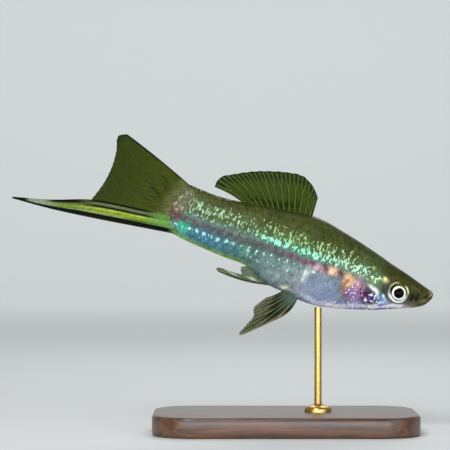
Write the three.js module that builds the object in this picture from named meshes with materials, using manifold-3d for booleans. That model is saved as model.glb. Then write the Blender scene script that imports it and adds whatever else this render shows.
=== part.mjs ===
// A male swordtail, a slim live-bearing fish, modelled life size on a plain display stand.
// Millimetres, +Z up. It faces +X and swims nose down; the origin is the centre of the base's
// underside. The fish is shaped in its own frame: "along" runs from the snout tip back to the
// tail, "up" is the height over the body axis, and "side" is positive on the fish's left.

import * as THREE from "three";
import { mergeVertices } from "three/addons/utils/BufferGeometryUtils.js";
import Module from "manifold-3d";

const wasm = await Module();
wasm.setup();

const { clamp, degToRad, lerp, smoothstep } = THREE.MathUtils;

// Driving dimensions
const BODY_LENGTH = 60.5; // snout tip to the end of the tail stalk
const PITCH = degToRad(18.5); // the body axis, nose down
const SNOUT = new THREE.Vector3(32.5, 0, 30.0); // snout tip over the base's underside
const GAP = 0.3; // between nodes that touch
const MEMBRANE = 0.5; // thickness of a fin's skin between its rays
const RAY_HEIGHT = 0.16; // a ray's ridge over the skin, on each face, at its root

// The body's outline at stations along it: back and belly lines, the height of the widest
// line, and half the width there.
const STATIONS = [
  { along: 0.0, back: 0.25, belly: -0.95, mid: -0.4, half: 0.6 },
  { along: 0.5, back: 0.72, belly: -1.95, mid: -0.6, half: 1.05 },
  { along: 1.2, back: 0.95, belly: -2.85, mid: -0.8, half: 1.5 },
  { along: 2.3, back: 1.28, belly: -3.6, mid: -0.9, half: 2.05 },
  { along: 4.4, back: 1.95, belly: -4.55, mid: -1.0, half: 2.85 },
  { along: 7.4, back: 2.85, belly: -5.75, mid: -1.2, half: 3.6 },
  { along: 11.0, back: 3.75, belly: -7.15, mid: -1.5, half: 4.2 },
  { along: 15.0, back: 4.95, belly: -8.4, mid: -1.8, half: 4.5 },
  { along: 19.5, back: 6.15, belly: -9.6, mid: -1.9, half: 4.6 },
  { along: 24.0, back: 7.2, belly: -10.4, mid: -1.7, half: 4.5 },
  { along: 28.0, back: 8.0, belly: -10.4, mid: -1.2, half: 4.25 },
  { along: 31.5, back: 8.15, belly: -9.85, mid: -0.7, half: 3.95 },
  { along: 36.0, back: 7.6, belly: -9.2, mid: -0.4, half: 3.5 },
  { along: 40.5, back: 6.95, belly: -7.05, mid: 0.0, half: 3.05 },
  { along: 46.0, back: 6.15, belly: -6.7, mid: 0.0, half: 2.5 },
  { along: 52.0, back: 5.75, belly: -6.25, mid: 0.0, half: 2.0 },
  { along: 57.0, back: 5.95, belly: -5.75, mid: 0.1, half: 1.45 },
  { along: 60.5, back: 6.1, belly: -5.4, mid: 0.2, half: 0.8 },
];
const TAIL_ARC = 1.9; // how far the stalk's end bows back at mid height

// Mouth: the gape slopes steeply from the upper lip's tip down to the corner.
const GAPE_TIP = { along: 0.2, up: 0.95 };
const GAPE_CORNER = { along: 1.55, up: -1.0 };
const GAPE_WIDTH = 0.3;
const GAPE_DEPTH = 0.5;
const LIP_HEIGHT = 0.2;
const LIP_REACH = 0.5;

// Eye, orbit and nostrils
const EYE = { along: 7.4, up: -2.0, side: 2.6, radius: 2.4, bulge: 1.8, yaw: degToRad(9) };
const ORBIT_RIM = { radius: 2.6, thickness: 0.34, side: 3.42 };
const NOSTRILS = [
  { along: 2.7, up: 0.35, radius: 0.27 },
  { along: 3.9, up: 0.75, radius: 0.3 },
];

// Gill opening, from the nape down round the gill cover to the throat, and the cover's front
const GILL_EDGE = [
  { along: 12.0, up: 9.0 },
  { along: 12.5, up: 4.6 },
  { along: 13.1, up: 1.9 },
  { along: 14.9, up: 0.1 },
  { along: 15.8, up: -2.8 },
  { along: 15.2, up: -5.2 },
  { along: 13.4, up: -7.0 },
  { along: 11.2, up: -8.6 },
  { along: 9.0, up: -11.0 },
];
const COVER_EDGE = [
  { along: 13.5, up: 0.2 },
  { along: 11.8, up: -0.6 },
  { along: 10.9, up: -2.4 },
  { along: 10.7, up: -4.4 },
  { along: 11.5, up: -6.0 },
  { along: 13.2, up: -5.9 },
  { along: 14.5, up: -4.6 },
  { along: 14.95, up: -2.7 },
  { along: 14.5, up: -0.9 },
];
const COVER_DEPTH = 0.9;
const COVER_RISE = 0.25;
const STALK_START = 42.0; // where the tail stalk is parted from the trunk

// Fins: each outline is a table over the fan, from the front ray (0) to the rear ray (1).
const DORSAL_ROOT = [
  { fan: 0, along: 30.6, up: 6.9 },
  { fan: 0.5, along: 37.6, up: 6.1 },
  { fan: 1, along: 44.2, up: 5.1 },
];
const DORSAL_TIP = [
  { fan: 0, along: 30.8, up: 12.3 },
  { fan: 0.1, along: 32.6, up: 14.3 },
  { fan: 0.2, along: 35.2, up: 15.7 },
  { fan: 0.35, along: 39.0, up: 15.4 },
  { fan: 0.5, along: 42.8, up: 14.4 },
  { fan: 0.65, along: 46.4, up: 13.1 },
  { fan: 0.8, along: 49.8, up: 11.4 },
  { fan: 0.92, along: 52.6, up: 9.6 },
  { fan: 1, along: 53.2, up: 7.3 },
];
const CAUDAL_ROOT = [
  { fan: 0, along: 56.6, up: 5.2 },
  { fan: 0.5, along: 59.0, up: 2.4 },
  { fan: 1, along: 59.4, up: -1.05 },
];
const CAUDAL_TIP = [
  { fan: 0, along: 74.9, up: 12.2 },
  { fan: 0.1, along: 76.6, up: 11.3 },
  { fan: 0.3, along: 76.0, up: 7.8 },
  { fan: 0.5, along: 75.8, up: 4.5 },
  { fan: 0.75, along: 76.4, up: 0.4 },
  { fan: 1, along: 77.8, up: -3.55 },
];
const SWORD_TOP = [
  { fan: 0, along: 58.6, up: -1.55 },
  { fan: 0.2, along: 66.0, up: -2.4 },
  { fan: 0.53, along: 77.6, up: -4.0 },
  { fan: 0.77, along: 86.2, up: -6.7 },
  { fan: 1, along: 94.4, up: -8.8 },
];
const SWORD_BOTTOM = [
  { fan: 0, along: 57.6, up: -5.2 },
  { fan: 0.2, along: 65.6, up: -6.25 },
  { fan: 0.5, along: 75.0, up: -7.5 },
  { fan: 0.77, along: 85.4, up: -8.65 },
  { fan: 1, along: 94.4, up: -9.15 },
];
const PELVIC_ROOT = [
  { fan: 0, along: 28.0, up: -9.4, side: 0.9 },
  { fan: 1, along: 30.9, up: -8.6, side: 1.1 },
];
const PELVIC_TIP = [
  { fan: 0, along: 30.4, up: -15.4, side: 2.0 },
  { fan: 0.25, along: 37.6, up: -21.7, side: 3.0 },
  { fan: 0.45, along: 36.0, up: -17.4, side: 3.6 },
  { fan: 0.7, along: 36.4, up: -15.2, side: 3.9 },
  { fan: 1, along: 34.6, up: -12.2, side: 3.2 },
];
const PECTORAL_ROOT = [
  { fan: 0, along: 18.0, up: -2.4, side: 3.7 },
  { fan: 1, along: 18.9, up: -5.4, side: 3.4 },
];
const PECTORAL_TIP = [
  { fan: 0, along: 26.0, up: -3.4, side: 8.0 },
  { fan: 0.25, along: 28.6, up: -5.5, side: 8.3 },
  { fan: 0.5, along: 28.6, up: -7.9, side: 8.0 },
  { fan: 0.75, along: 26.2, up: -9.8, side: 7.3 },
  { fan: 1, along: 22.6, up: -9.5, side: 6.2 },
];
const ANAL_ROOT = [
  { fan: 0, along: 36.4, up: -8.2 },
  { fan: 1, along: 39.6, up: -6.2 },
];
const ANAL_TIP = [
  { fan: 0, along: 40.6, up: -9.4 },
  { fan: 0.5, along: 41.6, up: -8.7 },
  { fan: 1, along: 42.0, up: -7.5 },
];
const GONOPODIUM = { start: 34.6, end: 47.0, up: -8.6, tipUp: -9.55, height: 1.5, width: 1.15 };

// Display stand
const BASE = { length: 58, depth: 34, height: 4.5, corner: 9, bevel: 0.8 };
const ROD = { forward: 7.2, radius: 0.8, top: 34 };
const COLLAR = { radius: 3.0, height: 1.4 };

// Materials
const finish = (color, roughness, metalness = 0) =>
  new THREE.MeshStandardMaterial({ color, roughness, metalness });
const MATERIALS = {
  skin: finish(0x6f7f5a, 0.35, 0.2),
  gill: finish(0x9a8aa6, 0.3, 0.3),
  fin: finish(0x6f7440, 0.4),
  sword: finish(0xa9b84e, 0.35),
  eye: finish(0x16160f, 0.1),
  wood: finish(0x3a2418, 0.45),
  brass: finish(0xb08d4a, 0.3, 1),
};

// Solids: a closed mesh becomes a solid for joining and cutting, and goes back to a geometry.
function solidFromArrays(points, faces) {
  const vertProperties = new Float32Array(points.flatMap((p) => [p.x, p.y, p.z]));
  const build = (triVerts) =>
    new wasm.Manifold(new wasm.Mesh({ numProp: 3, vertProperties, triVerts }));
  const made = build(new Uint32Array(faces.flat()));
  if (made.volume() > 0) return made;
  return build(new Uint32Array(faces.flatMap(([a, b, c]) => [a, c, b])));
}

function solidFromGeometry(geometry) {
  const bare = new THREE.BufferGeometry();
  const source = geometry.index ? geometry.toNonIndexed() : geometry;
  bare.setAttribute("position", source.getAttribute("position"));
  const merged = mergeVertices(bare, 1e-3);
  const vertProperties = merged.attributes.position.array;
  const triVerts = new Uint32Array(merged.index.array);
  return new wasm.Manifold(new wasm.Mesh({ numProp: 3, vertProperties, triVerts }));
}

function geometryFromSolid(solid) {
  const { vertProperties, triVerts, numProp, numVert } = solid.getMesh();
  const positions = new Float32Array(numVert * 3);
  for (let i = 0; i < numVert; i++) {
    positions.set(vertProperties.subarray(i * numProp, i * numProp + 3), i * 3);
  }
  const geometry = new THREE.BufferGeometry();
  geometry.setAttribute("position", new THREE.BufferAttribute(positions, 3));
  geometry.setIndex(new THREE.BufferAttribute(triVerts, 1));
  geometry.computeVertexNormals();
  return geometry;
}

// The largest closed body of a cut or joined solid, without the cuts' needless slivers.
function largest(solid) {
  const bodies = solid.decompose();
  const best = bodies.reduce((most, body) => (body.volume() > most.volume() ? body : most));
  return best.simplify(0.01);
}

// A smooth curve through one column of a table, over its key column.
function column(table, key, value) {
  const keys = table.map((row) => row[key]);
  const values = table.map((row) => row[value] ?? 0);
  const spline = new THREE.CubicInterpolant(keys, values, 1, new Float32Array(1));
  return (at) => spline.evaluate(clamp(at, keys[0], keys[keys.length - 1]))[0];
}

const backAt = column(STATIONS, "along", "back");
const bellyAt = column(STATIONS, "along", "belly");
const midAt = column(STATIONS, "along", "mid");
const halfAt = column(STATIONS, "along", "half");

// A point in the fish's frame; x runs forward, so "along" is its negative.
const fishPoint = (along, side, up) => new THREE.Vector3(-along, side, up);

// How far a point of the side view lies from the gape's line, and how far down that line it is.
function fromGape(along, up) {
  const line = new THREE.Vector2(GAPE_CORNER.along - GAPE_TIP.along, GAPE_CORNER.up - GAPE_TIP.up);
  const offset = new THREE.Vector2(along - GAPE_TIP.along, up - GAPE_TIP.up);
  const share = offset.dot(line) / line.lengthSq();
  const distance = Math.abs(offset.cross(line)) / line.length();
  return { share, distance };
}

// The lips swell on both sides of the gape and fade past its corner.
function lipSwell(along, up) {
  const { share, distance } = fromGape(along, up);
  const fade = 1 - smoothstep(share, 0.8, 1.4);
  return LIP_HEIGHT * fade * Math.exp(-((distance / LIP_REACH) ** 2));
}

// The body's surface: angle 0 is the back, a quarter turn the left side, a half turn the belly.
function bodyPoint(along, angle, grow = 0) {
  const mid = midAt(along);
  const rise = Math.cos(angle) >= 0;
  const reach = rise ? backAt(along) - mid : mid - bellyAt(along);
  const power = rise ? lerp(2.6, 1.95, smoothstep(along, 5, 24)) : 2.1;
  const across = Math.sign(Math.sin(angle)) * Math.abs(Math.sin(angle)) ** (2 / power);
  const over = Math.sign(Math.cos(angle)) * Math.abs(Math.cos(angle)) ** (2 / power);
  const swell = grow + lipSwell(along, mid + reach * over);
  const arc = TAIL_ARC * smoothstep(along, BODY_LENGTH - 5, BODY_LENGTH) * over * over;
  const stretch = grow * ((2 * along) / BODY_LENGTH - 1);
  const side = (halfAt(along) + swell) * across;
  return fishPoint(along - arc + stretch, side, mid + (reach + swell) * over);
}

// Rings along the body: close at the mouth, wider on the head, widest on the trunk and stalk.
function ringPlaces() {
  const places = [];
  for (let at = 0; at < 2.9; at += 0.36) places.push(at);
  for (let at = 3.0; at < 15.5; at += 0.95) places.push(at);
  for (let at = 16.0; at < BODY_LENGTH - 1; at += 2.05) places.push(at);
  places.push(BODY_LENGTH);
  return places;
}

// A closed solid through rings of points, each end closed by a fan round its middle.
function loft(rings) {
  const count = rings[0].length;
  const points = rings.flat();
  const faces = [];
  for (let r = 0; r + 1 < rings.length; r++) {
    for (let i = 0; i < count; i++) {
      const a = r * count + i;
      const b = r * count + ((i + 1) % count);
      faces.push([a, b, a + count], [b, b + count, a + count]);
    }
  }
  for (const [ring, start, front] of [
    [rings[0], 0, true],
    [rings[rings.length - 1], (rings.length - 1) * count, false],
  ]) {
    const middle = ring.reduce((sum, p) => sum.add(p), new THREE.Vector3()).divideScalar(count);
    points.push(middle);
    for (let i = 0; i < count; i++) {
      const [a, b] = [start + i, start + ((i + 1) % count)];
      faces.push(front ? [b, a, points.length - 1] : [a, b, points.length - 1]);
    }
  }
  return solidFromArrays(points, faces);
}

const BODY_SIDES = 36;
function bodySolid(grow) {
  const rings = ringPlaces().map((along) =>
    Array.from({ length: BODY_SIDES }, (_, i) =>
      bodyPoint(along, (i / BODY_SIDES) * 2 * Math.PI, grow),
    ),
  );
  return loft(rings);
}

const body = bodySolid(0);
const grownBody = bodySolid(GAP);

// A slab whose side view is a closed outline; it runs from one side of the fish to the other.
function sideSlab(outline, sideFrom, sideTo) {
  const shape = new THREE.Shape(outline.map((p) => new THREE.Vector2(-p.along, p.up)));
  const geometry = new THREE.ExtrudeGeometry(shape, { depth: sideTo - sideFrom, bevelEnabled: false });
  geometry.rotateX(Math.PI / 2);
  geometry.translate(0, sideTo, 0);
  return solidFromGeometry(geometry);
}

// Points along a smooth curve through a few places of the side view.
function smoothLine(places, count, closed = false) {
  const curve = new THREE.SplineCurve(places.map((p) => new THREE.Vector2(p.along, p.up)));
  if (!closed) return curve.getPoints(count).map((p) => ({ along: p.x, up: p.y }));
  const ring = places.map((p) => new THREE.Vector3(p.along, p.up, 0));
  const loop = new THREE.CatmullRomCurve3(ring, true);
  return Array.from({ length: count }, (_, i) => loop.getPoint(i / count)).map((p) => ({
    along: p.x,
    up: p.y,
  }));
}

// Everything in front of the gill opening, moved back along the body by a shift.
function frontRegion(shift) {
  const edge = smoothLine(GILL_EDGE, 28).map((p) => ({ along: p.along + shift, up: p.up }));
  const front = [
    { along: -5, up: -11 },
    { along: -5, up: 9 },
  ];
  return sideSlab([...edge, ...front], -9, 9);
}

const rearRegion = (start) =>
  sideSlab(
    [
      { along: start, up: -14 },
      { along: BODY_LENGTH + 8, up: -14 },
      { along: BODY_LENGTH + 8, up: 14 },
      { along: start, up: 14 },
    ],
    -9,
    9,
  );

// Head: the front of the body with the gape, nostrils and eye sockets cut in.
function gapeCut() {
  const length = Math.hypot(GAPE_CORNER.along - GAPE_TIP.along, GAPE_CORNER.up - GAPE_TIP.up);
  const lead = 1.2;
  const slab = new THREE.BoxGeometry(length + lead, 8, GAPE_WIDTH);
  slab.translate(-(length + lead) / 2 + lead, 0, 0);
  slab.rotateY(-Math.atan2(GAPE_TIP.up - GAPE_CORNER.up, GAPE_CORNER.along - GAPE_TIP.along));
  slab.translate(-GAPE_TIP.along, 0, GAPE_TIP.up);
  return solidFromGeometry(slab).subtract(bodySolid(-GAPE_DEPTH));
}

// The body's half width at a place of the side view.
function sideAt(along, up) {
  const mid = midAt(along);
  const rise = up >= mid;
  const reach = rise ? backAt(along) - mid : mid - bellyAt(along);
  const power = rise ? lerp(2.6, 1.95, smoothstep(along, 5, 24)) : 2.1;
  const share = clamp(Math.abs(up - mid) / reach, 0, 1);
  return halfAt(along) * (1 - share ** power) ** (1 / power);
}

function ball(along, side, up, radii, turn = 0, detail = 16) {
  const geometry = new THREE.SphereGeometry(1, detail, Math.round(detail / 2));
  geometry.scale(radii[0], radii[1], radii[2]);
  geometry.rotateZ(turn);
  geometry.translate(-along, side, up);
  return solidFromGeometry(geometry);
}

const eyeBall = (sign, grow, detail) =>
  ball(
    EYE.along,
    sign * EYE.side,
    EYE.up,
    [EYE.radius + grow, EYE.bulge + grow, EYE.radius + grow],
    -sign * EYE.yaw,
    detail,
  );

function orbitRim(sign) {
  const ring = new THREE.TorusGeometry(ORBIT_RIM.radius, ORBIT_RIM.thickness, 6, 28);
  ring.rotateX(Math.PI / 2);
  ring.rotateZ(-sign * EYE.yaw);
  ring.translate(-EYE.along, sign * ORBIT_RIM.side, EYE.up);
  return solidFromGeometry(ring);
}

// Gill cover: a plate on each cheek, let into the head with a gap all round.
function coverSlab(sign, grow) {
  const middle = { along: 12.9, up: -2.9 };
  const outline = smoothLine(COVER_EDGE, 26, true).map((p) => {
    const out = new THREE.Vector2(p.along - middle.along, p.up - middle.up);
    const scale = 1 + grow / out.length();
    return { along: middle.along + out.x * scale, up: middle.up + out.y * scale };
  });
  return sign > 0 ? sideSlab(outline, 0.5, 8) : sideSlab(outline, -8, -0.5);
}

const coverSolid = (sign) =>
  bodySolid(COVER_RISE).intersect(coverSlab(sign, 0)).subtract(bodySolid(-COVER_DEPTH));
const coverRecess = (sign) =>
  coverSlab(sign, GAP).subtract(bodySolid(-COVER_DEPTH - GAP));

function headSolid() {
  let head = body.intersect(frontRegion(-GAP / 2));
  for (const sign of [-1, 1]) {
    head = head.add(orbitRim(sign));
    head = head.subtract(eyeBall(sign, GAP, 20)).subtract(coverRecess(sign));
    for (const pit of NOSTRILS) {
      const radii = [pit.radius, pit.radius, pit.radius];
      const side = sign * sideAt(pit.along, pit.up);
      head = head.subtract(ball(pit.along, side, pit.up, radii, 0, 8));
    }
  }
  return largest(head.subtract(gapeCut()));
}

const trunkSolid = () =>
  largest(body.subtract(frontRegion(GAP / 2)).subtract(rearRegion(STALK_START - GAP / 2)));
const stalkSolid = () => largest(body.intersect(rearRegion(STALK_START + GAP / 2)));

// Fins are thin sheets of rays: a fan runs across the rays and reach runs along them.
const BRANCH_AT = 0.55; // where each ray starts to fork, as a share of its length

// A ray's ridge at one of its columns (-1, 0, 1 across the ray) and its reach.
function ridgeHeight(across, reach, branched) {
  const fork = branched ? smoothstep(reach, BRANCH_AT - 0.1, BRANCH_AT + 0.15) : 0;
  const height = across === 0 ? 1 - 0.8 * fork : 0.85 * fork;
  return RAY_HEIGHT * height * (1 - 0.55 * reach);
}

// The columns of a fan: the skin between rays, then each ray's left foot, crest and right foot.
function fanColumns(rays, foot) {
  const columns = [];
  for (let i = 0; i < rays; i++) {
    columns.push({ fan: i / rays, across: null });
    for (const across of [-1, 0, 1]) {
      columns.push({ fan: (i + 0.5 + across * foot) / rays, across });
    }
  }
  columns.push({ fan: 1, across: null });
  return columns;
}

// A closed sheet over a grid of columns and rows, split alike on both faces.
function finSheet({ at, rays, rows, branched = true, foot = 0.2, root = 0.25, notch = 0.012 }) {
  const columns = fanColumns(rays, foot);
  const step = 1e-3;
  const normalAt = (fan, reach) => {
    const alongFan = at(Math.min(fan + step, 1), reach).sub(at(Math.max(fan - step, 0), reach));
    const alongReach = at(fan, reach + step).sub(at(fan, reach - step));
    return alongFan.cross(alongReach).normalize();
  };
  const faces = [];
  const left = [];
  const right = [];
  for (const { fan, across } of columns) {
    for (let row = 0; row <= rows; row++) {
      const share = row / rows;
      const reach = share * (across === null ? 1 - notch : 1);
      const ridge = across === null ? 0 : ridgeHeight(across, reach, branched);
      const sheath = root * (1 - smoothstep(reach, 0.1, 0.4));
      const half = (MEMBRANE / 2) * lerp(1, 0.7, share ** 2) + ridge + sheath;
      const normal = normalAt(fan, reach).multiplyScalar(half);
      const middle = at(fan, reach);
      left.push(middle.clone().add(normal));
      right.push(middle.clone().sub(normal));
    }
  }
  const height = rows + 1;
  const offset = left.length;
  const quad = (a, b, c, d) => faces.push([a, b, c], [a, c, d]);
  for (let i = 0; i + 1 < columns.length; i++) {
    for (let j = 0; j < rows; j++) {
      const a = i * height + j;
      const b = a + height;
      faces.push([a, b, a + 1], [b, b + 1, a + 1]);
      faces.push([offset + a, offset + a + 1, offset + b]);
      faces.push([offset + b, offset + a + 1, offset + b + 1]);
    }
    const [a, b] = [i * height, (i + 1) * height];
    quad(a, offset + a, offset + b, b);
    quad(b + rows, offset + b + rows, offset + a + rows, a + rows);
  }
  for (let j = 0; j < rows; j++) {
    const last = (columns.length - 1) * height + j;
    quad(j, j + 1, offset + j + 1, offset + j);
    quad(last + 1, last, offset + last, offset + last + 1);
  }
  return solidFromArrays([...left, ...right], faces);
}

// A fan between a root line and a tip line, its rays bowed by a bend in the side view.
function fanBetween(rootTable, tipTable, { bend = () => [0, 0, 0], sign = 1, wave = 0 } = {}) {
  const line = (table) => {
    const [along, up, side] = ["along", "up", "side"].map((key) => column(table, "fan", key));
    return (fan) => fishPoint(along(fan), sign * side(fan), up(fan));
  };
  const [root, tip] = [line(rootTable), line(tipTable)];
  return (fan, reach) => {
    const [backward, upward, outward] = bend(fan);
    const control = root(fan).lerp(tip(fan), 0.5);
    control.add(fishPoint(backward, sign * outward, upward));
    const ripple = wave * Math.sin(fan * 3 * Math.PI) * reach * reach;
    const curve = new THREE.QuadraticBezierCurve3(root(fan), control, tip(fan));
    return curve.getPoint(reach).add(new THREE.Vector3(0, ripple, 0));
  };
}

const seated = (solid) => largest(solid.subtract(grownBody));

const dorsalFin = () =>
  seated(
    finSheet({
      at: fanBetween(DORSAL_ROOT, DORSAL_TIP, { bend: (f) => [-0.5 * f, 0.9 * f, 0], wave: 0.3 }),
      rays: 13,
      rows: 5,
    }),
  );

const caudalFin = () =>
  seated(
    finSheet({
      at: fanBetween(CAUDAL_ROOT, CAUDAL_TIP, { bend: (f) => [0, 0.5 * (1 - 2 * f), 0], wave: 0.35 }),
      rays: 14,
      rows: 6,
      root: 0.3,
    }),
  );

// Sword: the lowest tail rays, run out to a point; its fan runs from top to bottom.
function swordSolid() {
  const edge = (table) => {
    const [along, up] = ["along", "up"].map((key) => column(table, "fan", key));
    return (reach) => fishPoint(along(reach), 0, up(reach));
  };
  const [top, bottom] = [edge(SWORD_TOP), edge(SWORD_BOTTOM)];
  const at = (fan, reach) => top(clamp(reach, 0, 1)).lerp(bottom(clamp(reach, 0, 1)), fan);
  const sheet = finSheet({ at, rays: 5, rows: 11, branched: false, root: 0.25, notch: 0 });
  return seated(sheet);
}

const pelvicFin = (sign) =>
  seated(
    finSheet({
      at: fanBetween(PELVIC_ROOT, PELVIC_TIP, {
        bend: (f) => [-1.1 + 0.6 * f, -0.9 + 0.6 * f, 0.3],
        sign,
      }),
      rays: 6,
      rows: 6,
      root: 0.2,
    }),
  );

const pectoralFin = (sign) =>
  seated(
    finSheet({
      at: fanBetween(PECTORAL_ROOT, PECTORAL_TIP, { bend: () => [0, 0.2, 0.9], sign }),
      rays: 8,
      rows: 5,
      root: 0.2,
    }),
  );

// Gonopodium: the male's front anal rays, drawn out into a rod, with the short rays behind it.
function gonopodiumSolid() {
  const { start, end, up, tipUp, height, width } = GONOPODIUM;
  const rings = [];
  const count = 14;
  for (let i = 0; i <= count; i++) {
    const share = i / count;
    const taper = lerp(1, 0.62, share) * Math.sqrt(1 - Math.max(0, (share - 0.9) / 0.105) ** 2);
    const droop = -0.55 * Math.sin(share * Math.PI);
    const centre = { along: lerp(start, end, share), up: lerp(up, tipUp, share) + droop };
    rings.push(
      Array.from({ length: 12 }, (_, k) => {
        const angle = (k / 12) * 2 * Math.PI;
        const side = (width / 2) * taper * Math.sin(angle);
        return fishPoint(centre.along, side, centre.up + (height / 2) * taper * Math.cos(angle));
      }),
    );
  }
  const fan = finSheet({ at: fanBetween(ANAL_ROOT, ANAL_TIP), rays: 4, rows: 5, root: 0.1 });
  return seated(loft(rings).add(fan));
}

// Stand: a wooden base and a brass rod whose top is shaped to the belly.
function baseSolid() {
  const { length, depth, height, corner, bevel } = BASE;
  const [x, y] = [length / 2 - bevel, depth / 2 - bevel];
  const round = corner - bevel;
  const shape = new THREE.Shape();
  shape.moveTo(-x + round, -y);
  shape.lineTo(x - round, -y);
  shape.absarc(x - round, -y + round, round, -Math.PI / 2, 0);
  shape.lineTo(x, y - round);
  shape.absarc(x - round, y - round, round, 0, Math.PI / 2);
  shape.lineTo(-x + round, y);
  shape.absarc(-x + round, y - round, round, Math.PI / 2, Math.PI);
  shape.lineTo(-x, -y + round);
  shape.absarc(-x + round, -y + round, round, Math.PI, 1.5 * Math.PI);
  const geometry = new THREE.ExtrudeGeometry(shape, {
    depth: height - 2 * bevel,
    bevelThickness: bevel,
    bevelSize: bevel,
    bevelSegments: 2,
    curveSegments: 6,
  });
  geometry.translate(0, 0, bevel);
  return solidFromGeometry(geometry);
}

function rodSolid(fishMatrix) {
  const foot = BASE.height + GAP;
  const profile = [
    [0, foot],
    [COLLAR.radius, foot],
    [COLLAR.radius, foot + COLLAR.height * 0.4],
    [COLLAR.radius * 0.55, foot + COLLAR.height],
    [ROD.radius, foot + COLLAR.height * 1.25],
    [ROD.radius, ROD.top],
    [0, ROD.top],
  ].map(([radius, height]) => new THREE.Vector2(radius, height));
  const geometry = new THREE.LatheGeometry(profile, 20);
  geometry.rotateX(Math.PI / 2);
  geometry.translate(ROD.forward, 0, 0);
  const fish = geometryFromSolid(grownBody).applyMatrix4(fishMatrix);
  return largest(solidFromGeometry(geometry).subtract(solidFromGeometry(fish)));
}

// The object
const model = new THREE.Group();
const fish = new THREE.Group();
fish.rotation.y = PITCH;
fish.position.copy(SNOUT);
fish.updateMatrix();
model.add(fish);

function addNode(group, name, solid, material) {
  const mesh = new THREE.Mesh(geometryFromSolid(solid), material);
  mesh.name = name;
  group.add(mesh);
}

addNode(fish, "head", headSolid(), MATERIALS.skin);
addNode(fish, "trunk", trunkSolid(), MATERIALS.skin);
addNode(fish, "tail_stalk", stalkSolid(), MATERIALS.skin);
addNode(fish, "dorsal_fin", dorsalFin(), MATERIALS.fin);
addNode(fish, "caudal_fin", caudalFin(), MATERIALS.fin);
addNode(fish, "sword", swordSolid(), MATERIALS.sword);
addNode(fish, "gonopodium", gonopodiumSolid(), MATERIALS.fin);
for (const [name, sign] of [
  ["left", 1],
  ["right", -1],
]) {
  addNode(fish, `gill_cover_${name}`, largest(coverSolid(sign)), MATERIALS.gill);
  addNode(fish, `eye_${name}`, eyeBall(sign, 0, 20), MATERIALS.eye);
  addNode(fish, `pectoral_fin_${name}`, pectoralFin(sign), MATERIALS.fin);
  addNode(fish, `pelvic_fin_${name}`, pelvicFin(sign), MATERIALS.fin);
}
addNode(model, "stand_base", baseSolid(), MATERIALS.wood);
addNode(model, "stand_rod", rodSolid(fish.matrix), MATERIALS.brass);

export default model;
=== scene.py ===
"""Looks of a male swordtail on a display stand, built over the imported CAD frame.

Shapes are worked out in millimetres in the fish's own frame: "along" runs from the snout tip to
the tail, "up" is the height over the body axis and "side" is positive on the fish's left.
"""

import math

import bpy
import numpy as np
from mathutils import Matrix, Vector


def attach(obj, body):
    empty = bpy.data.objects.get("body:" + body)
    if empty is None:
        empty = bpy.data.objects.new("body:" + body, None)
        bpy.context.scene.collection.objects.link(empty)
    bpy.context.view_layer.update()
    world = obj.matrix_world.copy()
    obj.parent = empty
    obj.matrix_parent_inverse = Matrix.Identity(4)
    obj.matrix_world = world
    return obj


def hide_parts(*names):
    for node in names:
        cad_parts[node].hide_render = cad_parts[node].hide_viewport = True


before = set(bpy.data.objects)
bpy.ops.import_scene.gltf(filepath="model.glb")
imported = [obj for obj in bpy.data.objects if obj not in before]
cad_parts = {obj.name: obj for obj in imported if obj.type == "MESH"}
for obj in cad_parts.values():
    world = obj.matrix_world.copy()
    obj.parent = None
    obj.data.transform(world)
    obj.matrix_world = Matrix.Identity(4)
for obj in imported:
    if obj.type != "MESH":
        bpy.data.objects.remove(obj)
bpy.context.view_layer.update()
rng = np.random.default_rng(7)

MM = 0.001
PITCH = math.radians(18.5)  # how far the fish noses down
SNOUT = np.array([32.5, 0.0, 30.0])
BODY_LENGTH = 60.5
TAIL_ARC = 1.9  # the body's end is drawn forward by this much above and below
SKIN_DEPTH = 0.1  # the skin lies this far inside the solids, under the scales
DEPTH_OF_TONE = 1.18  # power that deepens the painted colours and leaves white as it is
SCALE_PITCH = 1.72  # from one scale to the next in a row
SCALE_ROWS = 11  # steps from the row on the ridge of the back to the row on the belly
SCALES_FROM = 8  # no scale reaches further forward than this
POINTS_PER_RAY = 14  # across each ray of a fin
JOINT_PITCH = 0.55  # from one joint of a fin ray to the next
NO_FORKS = (2, 3)  # shares of the way out that no ray reaches

# along, back, belly, height of the widest line, half width
STATIONS = np.array(
    [
        (0.0, 0.25, -0.95, -0.4, 0.6),
        (0.5, 0.72, -1.95, -0.6, 1.05),
        (1.2, 0.95, -2.85, -0.8, 1.5),
        (2.3, 1.28, -3.6, -0.9, 2.05),
        (4.4, 1.95, -4.55, -1.0, 2.85),
        (7.4, 2.85, -5.75, -1.2, 3.6),
        (11.0, 3.75, -7.15, -1.5, 4.2),
        (15.0, 4.95, -8.4, -1.8, 4.5),
        (19.5, 6.15, -9.6, -1.9, 4.6),
        (24.0, 7.2, -10.4, -1.7, 4.5),
        (28.0, 8.0, -10.4, -1.2, 4.25),
        (31.5, 8.15, -9.85, -0.7, 3.95),
        (36.0, 7.6, -9.2, -0.4, 3.5),
        (40.5, 6.95, -7.05, 0.0, 3.05),
        (46.0, 6.15, -6.7, 0.0, 2.5),
        (52.0, 5.75, -6.25, 0.0, 2.0),
        (57.0, 5.95, -5.75, 0.1, 1.45),
        (60.5, 6.1, -5.4, 0.2, 0.8),
    ]
)
GAPE_TIP, GAPE_CORNER = np.array([0.2, 0.95]), np.array([1.55, -1.0])
EYE = {"along": 7.65, "up": -1.95, "side": 2.6, "radius": 2.4, "bulge": 1.8}
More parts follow.
